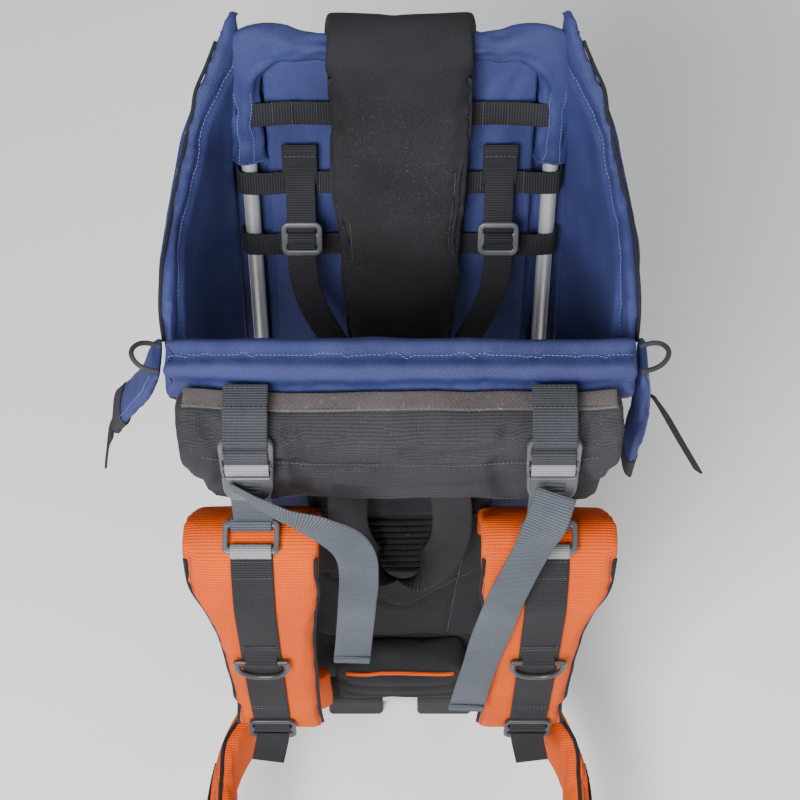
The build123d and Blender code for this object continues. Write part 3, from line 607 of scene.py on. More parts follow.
# ---- padded pieces start from the frame's own blocks and are blown up like stuffed cloth
wingPad = {"finish": "blueTwill", "slot": "blue_fabric", "voxel": 4.6, "shrink": 1.2, "pressure": 3.5,
           "cap": 5, "wrinkle": 1.5, "wrinkleScale": (26, 22, 16), "fill": 0.5}
orangePad = {"finish": "orangeKnit", "slot": "orange_mesh", "voxel": 4.4, "shrink": 1.6, "pressure": 4,
             "cap": 4, "wrinkle": 0.8, "wrinkleScale": (20, 20, 24), "fill": 0.8}
blackPad = {"finish": "blackCloth", "slot": "black_fabric"}
bluePad = {"finish": "blueTwill", "slot": "blue_fabric"}
padValues = {
    "wingLeft": {"node": "wing_left", **wingPad},
    "wingRight": {"node": "wing_right", **wingPad},
    "childBackPad": {"node": "child_back_pad", "finish": "dustyBlack", "slot": "black_fabric", "voxel": 5,
                     "shrink": 2, "pressure": 4, "cap": 5, "wrinkle": 0.8, "wrinkleScale": (14, 20, 20),
                     "fill": 0.8},
    "seatCushion": {"node": "seat_cushion", **bluePad, "voxel": 5, "shrink": 2, "pressure": 4, "cap": 5,
                    "wrinkle": 1.2, "wrinkleScale": (24, 24, 24), "fill": 0.6},
    "frontCollar": {"node": "front_collar", **bluePad, "voxel": 4.5, "shrink": 1.6, "pressure": 3, "cap": 4,
                    "wrinkle": 1.4, "wrinkleScale": (34, 20, 16), "fill": 0.7},
    "wearerCushion": {"node": "front_cushion", "finish": "charcoalCord", "slot": "charcoal_fabric",
                      "voxel": 5,
                      "shrink": 2, "pressure": 3.5, "cap": 5, "wrinkle": 2.8, "wrinkleScale": (18, 24, 34),
                      "fill": 0.7},
    "sideFlaps": {"node": "side_flaps", **bluePad, "voxel": 3.6, "shrink": 0.9, "pressure": 2.5, "cap": 3,
                  "wrinkle": 0.9, "wrinkleScale": (40, 30, 30), "fill": 0.5},
    "storageBag": {"node": "storage_bag", **blackPad, "voxel": 6, "shrink": 3, "pressure": 1.5, "cap": 7,
                   "wrinkle": 2.6, "wrinkleScale": (16, 16, 22), "fill": 0.5},
    "backPanel": {"node": "back_panel", **blackPad, "voxel": 4.6, "shrink": 1.5, "pressure": 3, "cap": 4,
                  "wrinkle": 1.0, "wrinkleScale": (22, 20, 12), "fill": 0.6},
    "harnessYoke": {"node": "harness_yoke", **blackPad, "voxel": 2.6, "shrink": 0.6, "pressure": 2, "cap": 2,
                    "wrinkle": 0.5, "wrinkleScale": (40, 30, 30), "fill": 0.4},
    "lumbarPad": {"node": "lumbar_pad", **blackPad, "voxel": 5, "shrink": 2.2, "pressure": 4, "cap": 5,
                  "wrinkle": 0.8, "wrinkleScale": (24, 24, 24), "fill": 0.8},
    "shoulderPadLeft": {"node": "shoulder_pad_left", **orangePad},
    "shoulderPadRight": {"node": "shoulder_pad_right", **orangePad},
    "hipFinLeft": {"node": "hip_fin_left", "body": "hip_fin_left", **orangePad},
    "hipFinRight": {"node": "hip_fin_right", "body": "hip_fin_right", **orangePad},
}


def evaluatedMesh(piece):
    bpy.context.view_layer.update()
    return bpy.data.meshes.new_from_object(piece.evaluated_get(bpy.context.evaluated_depsgraph_get()))


def swapMesh(piece, mesh):
    old = piece.data
    piece.modifiers.clear()
    piece.data = mesh
    bpy.data.meshes.remove(old)


def startPad(name, v):
    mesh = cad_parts[v["node"]].data.copy()
    mesh.materials.clear()
    turnOutwards(mesh)
    pad = addObject(name, mesh)
    remesh = pad.modifiers.new("remesh", "REMESH")
    remesh.mode = "VOXEL"
    remesh.voxel_size = v["voxel"] / 1000
    swapMesh(pad, evaluatedMesh(pad))
    ease = pad.modifiers.new("ease", "SMOOTH")
    ease.factor = 0.5
    ease.iterations = 3
    swapMesh(pad, evaluatedMesh(pad))
    for vert, normal in zip(pad.data.vertices, normalsOf(pad.data)):
        vert.co -= normal * v["shrink"] / 1000
    pad.data.update()
    return pad


def addCloth(pad, v):
    cloth = pad.modifiers.new("stuffing", "CLOTH")
    cloth.settings.quality = 4
    cloth.settings.mass = 0.3
    cloth.settings.use_pressure = True
    cloth.settings.uniform_pressure_force = v["pressure"]
    cloth.settings.effector_weights.gravity = 0
    cloth.settings.tension_stiffness = 12
    cloth.settings.compression_stiffness = 12
    cloth.settings.bending_stiffness = 0.4
    cloth.point_cache.frame_start = 1
    cloth.point_cache.frame_end = 20
    cloth.collision_settings.use_collision = False


def finishPad(pad, v):
    start = [vert.co.copy() for vert in pad.data.vertices]
    if pad.modifiers:
        swapMesh(pad, evaluatedMesh(pad))
    cap = v["cap"] / 1000
    for vert, before in zip(pad.data.vertices, start):
        move = vert.co - before
        if move.length > cap:
            vert.co = before + move.normalized() * cap
    pad.data.update()
    sx, sy, sz = v["wrinkleScale"]
    for vert, normal in zip(pad.data.vertices, normalsOf(pad.data)):
        p = vert.co
        fold = noise.noise(Vector((p.x * sx, p.y * sy, p.z * sz)))
        fold += 0.5 * noise.noise(Vector((p.x * sx * 2.3 + 5, p.y * sy * 2.3, p.z * sz * 2.3)))
        vert.co = p + normal * (fold * v["wrinkle"] / 1000)
    fine = pad.modifiers.new("fine", "SUBSURF")
    fine.levels = 1
    fine.render_levels = 1
    swapMesh(pad, evaluatedMesh(pad))
    pad.data.materials.append(finishes[v["finish"]])
    for face in pad.data.polygons:
        face.use_smooth = True
    return pad


pads = {name: startPad(name, v) for name, v in padValues.items()}
print("padded pieces shaped")
for name, pad in pads.items():
    addCloth(pad, padValues[name])
for step in range(1, 21):
    bpy.context.scene.frame_set(step)
print("padded pieces blown up")
for name, pad in pads.items():
    finishPad(pad, padValues[name])
bpy.context.scene.frame_set(1)
surfaces = {name: surfaceOf(pad) for name, pad in pads.items()}
threads = {}   # stitch lines waiting to be sewn, by body and thread


def sew(name, points, direction, width=6, depth=1.6, thread="sewingThread", stitched=True, lift=0.2):
    body = padValues[name].get("body", carrier)
    line = onPiece(surfaces[name], points, direction, 0)
    pressSeam(pads[name], line, width, depth)
    surfaces[name] = surfaceOf(pads[name])
    if stitched:
        threads.setdefault((body, thread), []).append([nearest(surfaces[name], p, lift) for p in line])
    return line


def stitchOnly(name, points, direction, thread="sewingThread", lift=0.3):
    body = padValues[name].get("body", carrier)
    line = onPiece(surfaces[name], points, direction, lift)
    threads.setdefault((body, thread), []).append(line)


# ---- side wings: a fat rolled rim with dark piping, and stitched rows lower down
wingValues = {
    "topEdge": [(216, 660), (172, 628), (130, 603), (70, 592), (22, 562)],
    "rimWidth": 15,
    "piping": 1.5,
    "gather": 13,
}


def wingX(y):   # outer face across, from the rear corner to the front
    a, b, c = (238.6, 129.3), (120.4, 164.0), (12.3, 160.0)
    return (a[1] * (y - b[0]) * (y - c[0]) / ((a[0] - b[0]) * (a[0] - c[0]))
            + b[1] * (y - a[0]) * (y - c[0]) / ((b[0] - a[0]) * (b[0] - c[0]))
            + c[1] * (y - a[0]) * (y - b[0]) / ((c[0] - a[0]) * (c[0] - b[0])))


def drawInCorner(side, name, v):   # the rear top corner is gathered in towards the tube
    for vert in pads[name].data.vertices:
        y, z = (vert.co.y - tubePlane) * 1000, vert.co.z * 1000
        back, rise = min(1, max(0, (y - 165) / 60)), min(1, max(0, (z - 540) / 100))
        vert.co.x -= side * v["gather"] / 1000 * back * back * (3 - 2 * back) * rise
    surfaces[name] = surfaceOf(pads[name])


def makeWingDetails(side, v):
    name = "wingRight" if side > 0 else "wingLeft"
    drawInCorner(side, name, v)
    edge = v["topEdge"]
    rim = v["rimWidth"]
    inner = [place(side * (wingX(y) - 11), y, z - rim) for y, z in edge]
    sew(name, inner, (side, 0, 0), width=7, depth=2.2, thread="blueThread")
    outer = [place(side * wingX(y), y, z - rim) for y, z in edge]
    sew(name, outer, (-side, 0, 0), width=7, depth=2.0, thread="blueThread")
    for back in (30, 34):
        rows = [place(side * (wingX(back) - 11), back, z) for z in (548, 520, 490, 462)]
        stitchOnly(name, rows, (side, 0, 0), "blueThread")
    low = [place(side * (wingX(y) - 11), y, z) for y, z in ((30, 452), (75, 400), (110, 330), (122, 285))]
    sew(name, low, (side, 0, 0), width=6, depth=1.4, thread="blueThread")
    ridge = [place(side * (wingX(y) + 2), y, z - 4) for y, z in edge]
    pipe = smoothPath([nearest(surfaces[name], p, 0.9) for p in smoothPath(ridge, 0.022)], 0.004)
    makeTubePiece(name + "Piping", [pipe], v["piping"], "dustyBlack", carrier)


for side in (1, -1):
    makeWingDetails(side, wingValues)
print("wings made")

# ---- rear panel of the seat: a fabric sheet between the rods, with folds running down from its top corners
panelValues = {"half": 98, "low": 206, "high": 634, "thick": 4.5, "fold": 5.0, "across": 90, "up": 130}


def makeQuilt(name, spot, normal, thick, nu, nv, finish, replaced, body=carrier):
    points = []
    for back in (1, -1):
        for j in range(nv + 1):
            for i in range(nu + 1):
                u, w = i / nu, j / nv
                edge = min(1, 12 * min(u, 1 - u, w, 1 - w)) ** 0.5
                points.append(spot(u, w) + normal * (back * thick / 2000 * (0.25 + 0.75 * edge)))
    faces = []
    size = (nu + 1) * (nv + 1)
    for j in range(nv):
        for i in range(nu):
            a = j * (nu + 1) + i
            faces.append((a, a + 1, a + nu + 2, a + nu + 1))
            faces.append((size + a, size + a + nu + 1, size + a + nu + 2, size + a + 1))
    border = [i for i in range(nu + 1)] + [j * (nu + 1) + nu for j in range(1, nv + 1)]
    border += [nv * (nu + 1) + i for i in range(nu - 1, -1, -1)]
    border += [j * (nu + 1) for j in range(nv - 1, 0, -1)]
    for a, b in zip(border, border[1:] + border[:1]):
        faces.append((a, size + a, size + b, b))
    mesh = meshFrom(name, points, faces, finish)
    turnOutwards(mesh)
    piece = ridesOn(addObject(name, mesh), body, replaced)
    return piece


def makeRearPanel(v):
    def spot(u, w):
        x = (2 * u - 1) * v["half"]
        z = v["low"] + w * (v["high"] - v["low"])
        cornerDrop = 1 - min(1, (1 - abs(x) / v["half"]) * 6)
        z -= cornerDrop * 8 * (w > 0.9) * (w - 0.9) * 10
        fan = math.atan2(abs(x) - 108, z - 670)
        far = math.hypot(abs(x) - 108, z - 670)
        folds = math.sin(fan * 26) * math.exp(-far / 110) * 0.9
        folds += 0.9 * noise.noise(Vector((x * 0.02, z * 0.012, 3 + (x > 0))))
        folds += 0.4 * noise.noise(Vector((x * 0.06, z * 0.04, 8)))
        hold = min(1, 8 * min(u, 1 - u, w, 1 - w))
        return onLean(x, z, folds * v["fold"] * hold * 0.5 - 1.2)
    normal = Vector((0, -math.cos(lean), math.sin(lean)))
    return makeQuilt("rearPanel", spot, normal, v["thick"], v["across"], v["up"], "blueTwill",
                     ["rear_panel"])


rearPanel = makeRearPanel(panelValues)

# ---- cloth behind the rods that joins the rear panel to the wings
gussetValues = {"inner": 88, "outer": 127, "low": 262, "high": 650, "thick": 3}


def makeGusset(side, v):
    def spot(u, w):
        x = v["inner"] + u * (v["outer"] - v["inner"])
        z = v["low"] + w * (v["high"] - v["low"])
        share = min(1, max(0, (x - v["inner"]) / 12))
        out = -2.5 - 7.5 * share * share * (3 - 2 * share)
        out += 1.0 * noise.noise(Vector((x * 0.05, z * 0.02, side * 4)))
        return onLean(side * x, z, out)
    makeQuilt("seatGusset" + ("Right" if side > 0 else "Left"), spot,
              Vector((0, -math.cos(lean), math.sin(lean))),
              v["thick"], 16, 90, "blueTwill", [])


for side in (1, -1):
    makeGusset(side, gussetValues)

# ---- fabric sleeves that hide the top of the rear tube, each with a loose open end hanging down its rod
sleeveValues = {"depth": 10.5, "lowEnd": 552, "top": 645, "inner": 50, "turn": 34, "low": 11, "bar": 10,
                "peak": 15}


def makeSleeve(side, v):
    name = "topSleeveRight" if side > 0 else "topSleeveLeft"
    half, top, turn = 112, v["top"], v["turn"]
    low = [(half, v["lowEnd"] + (top - turn - v["lowEnd"]) * i / 22) for i in range(23)]
    bend = [(half - turn + turn * math.cos(a), top - turn + turn * math.sin(a))
            for a in (math.radians(6 * i) for i in range(1, 15))]
    bar = [(half - turn - (half - turn - v["inner"]) * i / 12, top) for i in range(13)]
    path = low + bend + bar
    corner = len(low) + len(bend) // 2
    points, ring = [], 48
    front = Vector((0, -math.cos(lean), math.sin(lean)))
    for i, (x, z) in enumerate(path):
        here = onLean(side * x, z, 0.8)
        before, after = path[max(0, i - 1)], path[min(len(path) - 1, i + 1)]
        run = (onLean(side * after[0], after[1], 0) - onLean(side * before[0], before[1], 0)).normalized()
        outwards = front.cross(run).normalized()
        if outwards.dot(here - onLean(side * (half - turn), top - turn, 0)) < 0:
            outwards.negate()
        loose = max(0.0, 1 - i / 16)
        near = math.exp(-((i - corner) / 6.5) ** 2)
        share = min(1, max(0, (i - len(low)) / len(bend)))
        wide = v["low"] + (v["bar"] - v["low"]) * share + 2.5 * loose
        for k in range(ring):
            a = 2 * math.pi * k / ring
            c, s = math.cos(a), math.sin(a)
            crease = math.sin(5 * a + 0.13 * i) * 0.9 + math.sin(i * 0.55 + 2 * a) * 0.6
            crease += 2.2 * noise.noise(Vector((i * 0.22, c * 1.8, s * 1.8 + side * 3)))
            deep = v["depth"] * (1 - 0.18 * loose) + crease * 0.7
            across = wide + crease * 0.8 + v["peak"] * near * max(0, s) ** 2
            points.append(here + front * (deep * c / 1000) + outwards * (across * s / 1000))
    faces = []
    for i in range(len(path) - 1):
        for k in range(ring):
            m = (k + 1) % ring
            faces.append((i * ring + k, i * ring + m, (i + 1) * ring + m, (i + 1) * ring + k))
    faces.append(tuple(range(ring)))
    faces.append(tuple(range((len(path) - 1) * ring, len(path) * ring)))
    mesh = meshFrom(name, points, faces, "blueTwill")
    turnOutwards(mesh)
    piece = ridesOn(addObject(name, mesh), carrier)
    rim = [Vector(points[k]) for k in range(ring)] + [Vector(points[0])]
    makeTubePiece(name + "Hem", [rim], 1.1, "blueTwill", carrier)
    for shift in (-7, 7):
        seam = [onLean(side * (x + shift), z, v["depth"] + 3) for x, z in path[:len(low)]]
        tree = surfaceOf(piece)
        threads.setdefault((carrier, "blueThread"), []).append([nearest(tree, p, 0.3) for p in seam])


for side in (1, -1):
    makeSleeve(side, sleeveValues)
print("seat back made")

# ---- webbing bands across the rear panel, each wrapped round both rods
bandValues = {"levels": (593, 533, 476), "wide": 20, "thick": 2, "half": 112, "grip": 8.6}


def makeBands(v):
    up = Vector((0, math.sin(lean), math.cos(lean)))
    for number, level in enumerate(v["levels"]):
        route = []
        for side in (-1, 1):
            hook = [onLean(side * (v["half"] + v["grip"] * math.sin(math.radians(a))), level,
                           v["grip"] * math.cos(math.radians(a))) for a in (215, 180, 145, 110, 80, 50, 25)]
            flat = [onLean(side * x, level, 8.2 if x > 90 else 6.2) for x in (100, 84, 50, 15)]
            part = hook + flat
            route += part if side < 0 else part[::-1]
        makeStrap(f"rearBand{number + 1}", route, up, v["wide"], v["thick"], "blackWebbing", carrier,
                  ["rear_webbing_bands"], wave=1.2, seed=number)
        for x in (-78, -60, 60, 78, -92, 92):
            tack = [onLean(x, level + t * v["wide"] / 2.2, 7.5) for t in (-1, -0.3, 0.3, 1)]
            threads.setdefault((carrier, "sewingThread"), []).append(tack)


makeBands(bandValues)
print("rear bands made")

# ---- child's back pad: rounded top corners, and piped seams down both side edges
childPadValues = {"topHalf": 57, "lowHalf": 45, "low": 368, "piping": 1.6, "inset": 7}


def makeChildPad(v):
    for vert in pads["childBackPad"].data.vertices:   # the top corners are rounded off
        rise = min(1, max(0, (vert.co.z * 1000 - 632) / 40))
        vert.co.x *= 1 - 0.12 * rise * rise
    surfaces["childBackPad"] = surfaceOf(pads["childBackPad"])
    for side in (1, -1):
        edge = []
        for i in range(18):
            z = v["low"] + (632 - v["low"]) * i / 17
            share = min(1, max(0, (z - v["low"]) / (545 - v["low"])))
            half = v["lowHalf"] + (v["topHalf"] - v["lowHalf"]) * share
            edge.append(onLean(side * (half - v["inset"]), z, 40))
        line = [cast(surfaces["childBackPad"], p, (0, math.cos(lean), -math.sin(lean)), 0) for p in edge]
        pressSeam(pads["childBackPad"], line, 6, 1.4)
        surfaces["childBackPad"] = surfaceOf(pads["childBackPad"])
        rope = smoothPath([nearest(surfaces["childBackPad"], p, 0.9) for p in line[::2] + line[-1:]], 0.004)
        makeTubePiece("backPadPiping" + ("Right" if side > 0 else "Left"), [rope], v["piping"],
                      "dustyBlack", carrier)
        threads.setdefault((carrier, "sewingThread"), []).append(
            [nearest(surfaces["childBackPad"], p + Vector((-side * 0.004, 0, 0)), 0.3) for p in line])


makeChildPad(childPadValues)

# ---- collar roll over the front tube, and the wearer's cushion hanging in front of it
collarValues = {"half": 156, "seams": [(-25, 571), (-8, 591)]}


def makeCollar(v):
    for number, (y, z) in enumerate(v["seams"]):
        line = [place(x, y, z + 1.2 * math.sin(x / 30)) for x in range(-v["half"], v["half"] + 1, 12)]
        direction = (0, 1, 0) if number == 0 else (0, 0, -1)
        sew("frontCollar", line, direction, width=11, depth=5.0, thread="blueThread", stitched=number == 1)


makeCollar(collarValues)

cushionValues = {
    "seams": [[(x, -60, 538 - 3 * math.cos(x / 50)) for x in range(-132, 133, 12)],
              [(x, -56, 480) for x in range(-120, 121, 12)]],
    "folds": [[(-128, -60, 566), (-118, -60, 540), (-122, -58, 505)],
              [(-72, -60, 560), (-66, -60, 520), (-76, -58, 478)],
              [(-80, -60, 535), (-55, -60, 528), (-20, -60, 530)],
              [(72, -60, 562), (66, -60, 530), (74, -58, 485)],
              [(128, -60, 566), (120, -60, 538), (126, -58, 500)],
              [(60, -60, 550), (30, -60, 545), (5, -60, 549)],
              [(-40, -58, 500), (0, -58, 494), (45, -58, 502)]],
}


def makeCushion(v):
    for seam in v["seams"]:
        sew("wearerCushion", [place(*p) for p in seam], (0, 1, 0), width=6, depth=1.6)
    for fold in v["folds"]:
        sew("wearerCushion", [place(*p) for p in fold], (0, 1, 0), width=10, depth=4.2, stitched=False)
    for side in (1, -1):
        for height in (566, 552):
            gather = [place(side * x, -60, height + (150 - x) * 0.25) for x in (152, 144, 134, 126)]
            sew("wearerCushion", gather, (0, 1, 0), width=6, depth=1.8, stitched=False)
    edge = [place(x, -34, 600) for x in range(-144, 145, 8)]
    top = [cast(surfaces["wearerCushion"], p, (0, 0, -1), 0.9) for p in edge]
    makeStrap("cushionHem", top, (0, -1, 0), 15, 1.4, "wornHem", carrier,
              ["cushion_edge_band"],
              wave=1.0, seed=4)
    hem = [cast(surfaces["wearerCushion"], p + Vector((0, -0.006, 0)), (0, 0, -1), 1.8) for p in edge]
    threads.setdefault((carrier, "sewingThread"), []).append(hem)


makeCushion(cushionValues)

# ---- side flaps hanging from the collar's ends, with a ribbed binding round each tip
flapValues = {
    "leftTip": (-192, 506), "rightTip": (169, 452),
    "leftMiddle": [(-165, 560), (-172, 540), (-186, 515), (-200, 496)],
    "rightMiddle": [(165, 560), (169, 530), (170, 500), (168, 470), (166, 440)],
}


def makeFlapBinding(v):
    work = bmesh.new()
    work.from_mesh(pads["sideFlaps"].data)
    tipLeft = place(v["leftTip"][0], 0, v["leftTip"][1])
    tipRight = place(v["rightTip"][0], 0, v["rightTip"][1])
    drop = []
    for face in work.faces:
        here = face.calc_center_median()
        slope = 0.6
        if here.x > 0:
            beyond = here.z < tipRight.z
        else:
            beyond = here.x + slope * here.z < tipLeft.x + slope * tipLeft.z
        if not beyond:
            drop.append(face)
    bmesh.ops.delete(work, geom=drop, context="FACES")
    for vert in work.verts:
        vert.co += vert.normal * 0.0011
    mesh = bpy.data.meshes.new("flapBinding")
    work.to_mesh(mesh)
    work.free()
    mesh.materials.clear()
    mesh.materials.append(finishes["charcoalCord"])
    piece = ridesOn(addObject("flapBinding", mesh), carrier)
    wall = piece.modifiers.new("wall", "SOLIDIFY")
    wall.thickness = 0.0009
    wall.offset = -1
    swapMesh(piece, evaluatedMesh(piece))
    for side, run in ((-1, v["leftMiddle"]), (1, v["rightMiddle"])):
        for y in (-8, 20):
            stitchOnly("sideFlaps", [place(x, y, z) for x, z in run], (-side, 0, 0), "blueThread")


makeFlapBinding(flapValues)
print("collar, cushion and flaps made")

# ---- ladder-lock buckles: a tapered moulded frame, two wrapped bars and a curved thumb tab
lockValues = {"wide": 37, "long": 52, "thick": 5.4, "axis": (102, -61, 564), "lean": 16, "bar": 4.4,
              "curl": 0.012}


def lockSpot(side, across, down, out):
    x, y, z = lockValues["axis"]
    a = math.radians(lockValues["lean"])
    return place(side * x + across, y - down * math.sin(a) - out * math.cos(a),
                 z - down * math.cos(a) + out * math.sin(a))


def makeLock(side, v):
    word = "Right" if side > 0 else "Left"
    body = "load_lock_" + word.lower()
    wide, high = v["wide"], v["long"]
    outline = roundedLoop(wide, high, 8, 0, v["bar"] / 2 - high / 2)
    outline = [(x * (1 - 0.16 * max(0, (-y - 30) / 20)), y) for x, y in outline]
    windows = [roundedLoop(29, 10, 3.0, 0, -7.2), roundedLoop(30.4, 6, 1.6, 0, -19),
               roundedLoop(30.4, 6, 1.6, 0, -29)]
    mesh = plateMesh("ladderLock" + word, [outline, *windows], v["thick"], 1.7, "mouldedGrey")
    work = bmesh.new()
    work.from_mesh(mesh)
    bmesh.ops.triangulate(work, faces=[f for f in work.faces if len(f.verts) > 4])
    bmesh.ops.subdivide_edges(work, edges=[e for e in work.edges if e.calc_length() > 0.006], cuts=2)
    work.to_mesh(mesh)
    work.free()
    for vert in mesh.vertices:
        down = -vert.co.y * 1000
        if down > 32:
            vert.co.z += v["curl"] * (down - 32) ** 2 / 1000
        if down < 6:
            vert.co.z *= 1 + 0.10 * (6 - down) / 6
    origin = lockSpot(side, 0, 0, 0)
    mesh.transform(facing(origin, (1, 0, 0), lockSpot(side, 0, 0, 1) - origin))
    turnOutwards(mesh)
    piece = ridesOn(addObject("ladderLock" + word, mesh), body,
                    ["load_buckle_" + word.lower()])
    grips = [[lockSpot(side, a, d, 3.0 + v["curl"] * (d - 32) ** 2 + 0.2) for a in (-9, 9)]
             for d in (37, 40, 43)]
    makeTubePiece("lockGrips" + word, grips, 0.7, "mouldedGrey", body)
    for number, (down, look) in enumerate(((14, "darkWebbing"), (24, "paleWebbing"))):
        turn = [(-6.2, -2.2), (-5.2, 1.2), (-4.2, 3.4), (0, 4.5), (4.2, 3.4), (5.2, 1.2), (6.2, -2.2)]
        route = [lockSpot(side, 0, down + d, o) for d, o in turn]
        makeStrap(f"lockWrap{word}{number + 1}", route, (1, 0, 0), 29.4, 1.8, look, body,
                  step=1.0)
    return piece


for side in (1, -1):
    makeLock(side, lockValues)

# ---- webbing from the cushion to the locks, from the locks to the pads, and the long loose tails
anchorValues = {"x": 102, "wide": 30, "thick": 2}


def makeLoadWebbing(side, v):
    word = "Right" if side > 0 else "Left"
    x = side * v["x"]
    bar = lockValues["axis"]
    ring = [place(x, bar[1] + 4.5 * math.cos(math.radians(a)), bar[2] + 4.5 * math.sin(math.radians(a)))
            for a in (100, 140, 180, 220, 260, 300, 330)]
    top = [place(x, -27.5, 579.4), place(x, -38, 579.4), place(x, -48, 577.5), place(x, -55, 572.6)]
    under = [place(x, -53, 566.4), place(x, -47, 571.5)]
    makeStrap("anchorWebbing" + word, top + ring + under, (1, 0, 0), v["wide"], v["thick"], "darkWebbing",
              carrier,
              ["load_anchor_webbing"], step=1.2)
    for y in (-30, -46):
        tack = [place(x + a, y, 580.7) for a in (-13, -5, 5, 13)]
        threads.setdefault((carrier, "sewingThread"), []).append(tack)
    run = [place(x, -64.5, 541), place(x, -66, 522), place(x, -69.4, 498), place(x, -70.6, 473)]
    makeStrap("loadWebbing" + word, run, (1, 0, 0), 28, 1.9, "greyWebbing", carrier,
              ["load_webbing"],
              wave=0.8, seed=5 + side)


for side in (1, -1):
    makeLoadWebbing(side, anchorValues)

tailValues = {
    "left": {"route": [(-110, -75, 521), (-95, -86, 524), (-76, -97, 525), (-54, -102, 519), (-38, -102, 502),
                       (-30, -101, 476), (-29, -100, 440), (-31, -100, 400), (-34, -100, 350),
                       (-37, -99.5, 304)],
             "side": [(0, -0.3, 1), (0, -0.25, 1), (0.1, -0.2, 1), (0.4, 0, 0.9), (0.85, 0.15, 0.5),
                      (1, 0.1, 0.1),
                      (1, -0.1, 0), (1, 0.1, 0), (1, 0.12, 0), (1, 0, 0)], "wide": 28, "thick": 1.9},
    "right": {"route": [(104, -85, 536), (98, -100, 527), (90, -110, 510), (83, -112, 478), (75, -112, 436),
                        (67, -112, 380), (60, -112, 320), (52, -111, 239)],
              "side": [(1, 0, 0), (1, 0, 0.1), (1, 0.1, 0), (1, 0.08, 0), (1, 0, 0), (1, -0.1, 0),
                       (1, 0.1, 0),
                       (1, 0, 0)], "wide": 28, "thick": 1.9},
}


def makeTail(word, v):
    body = "load_lock_" + word.lower()
    route = [place(*p) for p in v["route"]]
    makeStrap("loadTail" + word, route, v["side"], v["wide"], v["thick"], "greyWebbing", body,
              ["load_tail_" + word.lower()], wave=1.4, seed=3 if word == "Left" else 9)
    end, before = route[-1], route[-2]
    run = (end - before).normalized()
    fold = [end - run * 0.012 + Vector((0, -0.0019, 0)), end - run * 0.002 + Vector((0, -0.0019, 0))]
    makeStrap("tailHem" + word, fold, (1, 0, 0), v["wide"] - 0.4, 1.7, "greyWebbing", body)
    across = Vector((1, 0, 0))
    tack = [end - run * 0.011 + across * a / 1000 + Vector((0, -0.0031, 0)) for a in (-12, -4, 4, 12)]
    threads.setdefault((body, "sewingThread"), []).append(tack)


for word in ("Left", "Right"):
    makeTail(word, tailValues[word.lower()])
print("load straps made")

# ---- shoulder pads: orange knit, black lining at the edges, webbing down the middle
shoulderValues = {
    "x": 104, "piping": 1.7,
    "innerEdge": [(54, 452), (54, 420), (56, 380), (58.5, 345), (60, 300), (60.5, 250), (61, 182)],
    "outerEdge": [(153, 452), (153, 425), (146, 380), (141, 345), (138.5, 300), (136, 250), (133, 182)],
}


def makeShoulder(side, v):
    word = "Right" if side > 0 else "Left"
    name = "shoulderPad" + word
    for edge, shift in (("innerEdge", 5), ("outerEdge", -5)):
        line = [place(side * (x + shift), -100, z) for x, z in v[edge]]
        sew(name, line, (0, 1, 0), width=6, depth=1.2)
    tree = surfaces[name]
    for edge in ("innerEdge", "outerEdge"):
        coarse = smoothPath([place(side * x, -98 + (4 if z > 430 else 0), z) for x, z in v[edge]], 0.018)
        rope = smoothPath([nearest(tree, p, 0.2) for p in coarse], 0.004)
        makeTubePiece(f"{name}{edge[:5].capitalize()}Piping", [rope], v["piping"], "blackCloth", carrier)
    top = [cast(tree, place(side * v["x"], -200, z), (0, 1, 0), 1.3) for z in range(458, 200, -12)]
    makeStrap("shoulderWebbing" + word, top, (1, 0, 0), 30, 2, "blackWebbing", carrier,
              ["shoulder_webbing"], wave=0.5, seed=2 + side)
    for z in (452, 440, 352, 348, 236, 232):
        tack = [cast(tree, place(side * v["x"] + a, -200, z), (0, 1, 0), 2.6) for a in (-12, -4, 4, 12)]
        threads.setdefault((carrier, "sewingThread"), []).append(tack)


for side in (1, -1):
    makeShoulder(side, shoulderValues)

# ---- rings, adjusters and their webbing on the pads
ringValues = {"middle": (104, -79.8, 465.7), "normal": (0, -0.35, 0.937), "wide": 40, "high": 24,
              "thick": 3.6}
adjusterValues = {"wide": 38, "high": 30, "thick": 4, "corner": 6}
keeperValues = {"x": 104, "z": 330, "wide": 24}


def addPlate(name, mesh, origin, across, outwards, body, replaced=()):
    mesh.transform(facing(origin, across, outwards))
    turnOutwards(mesh)
    return ridesOn(addObject(name, mesh), body, replaced)


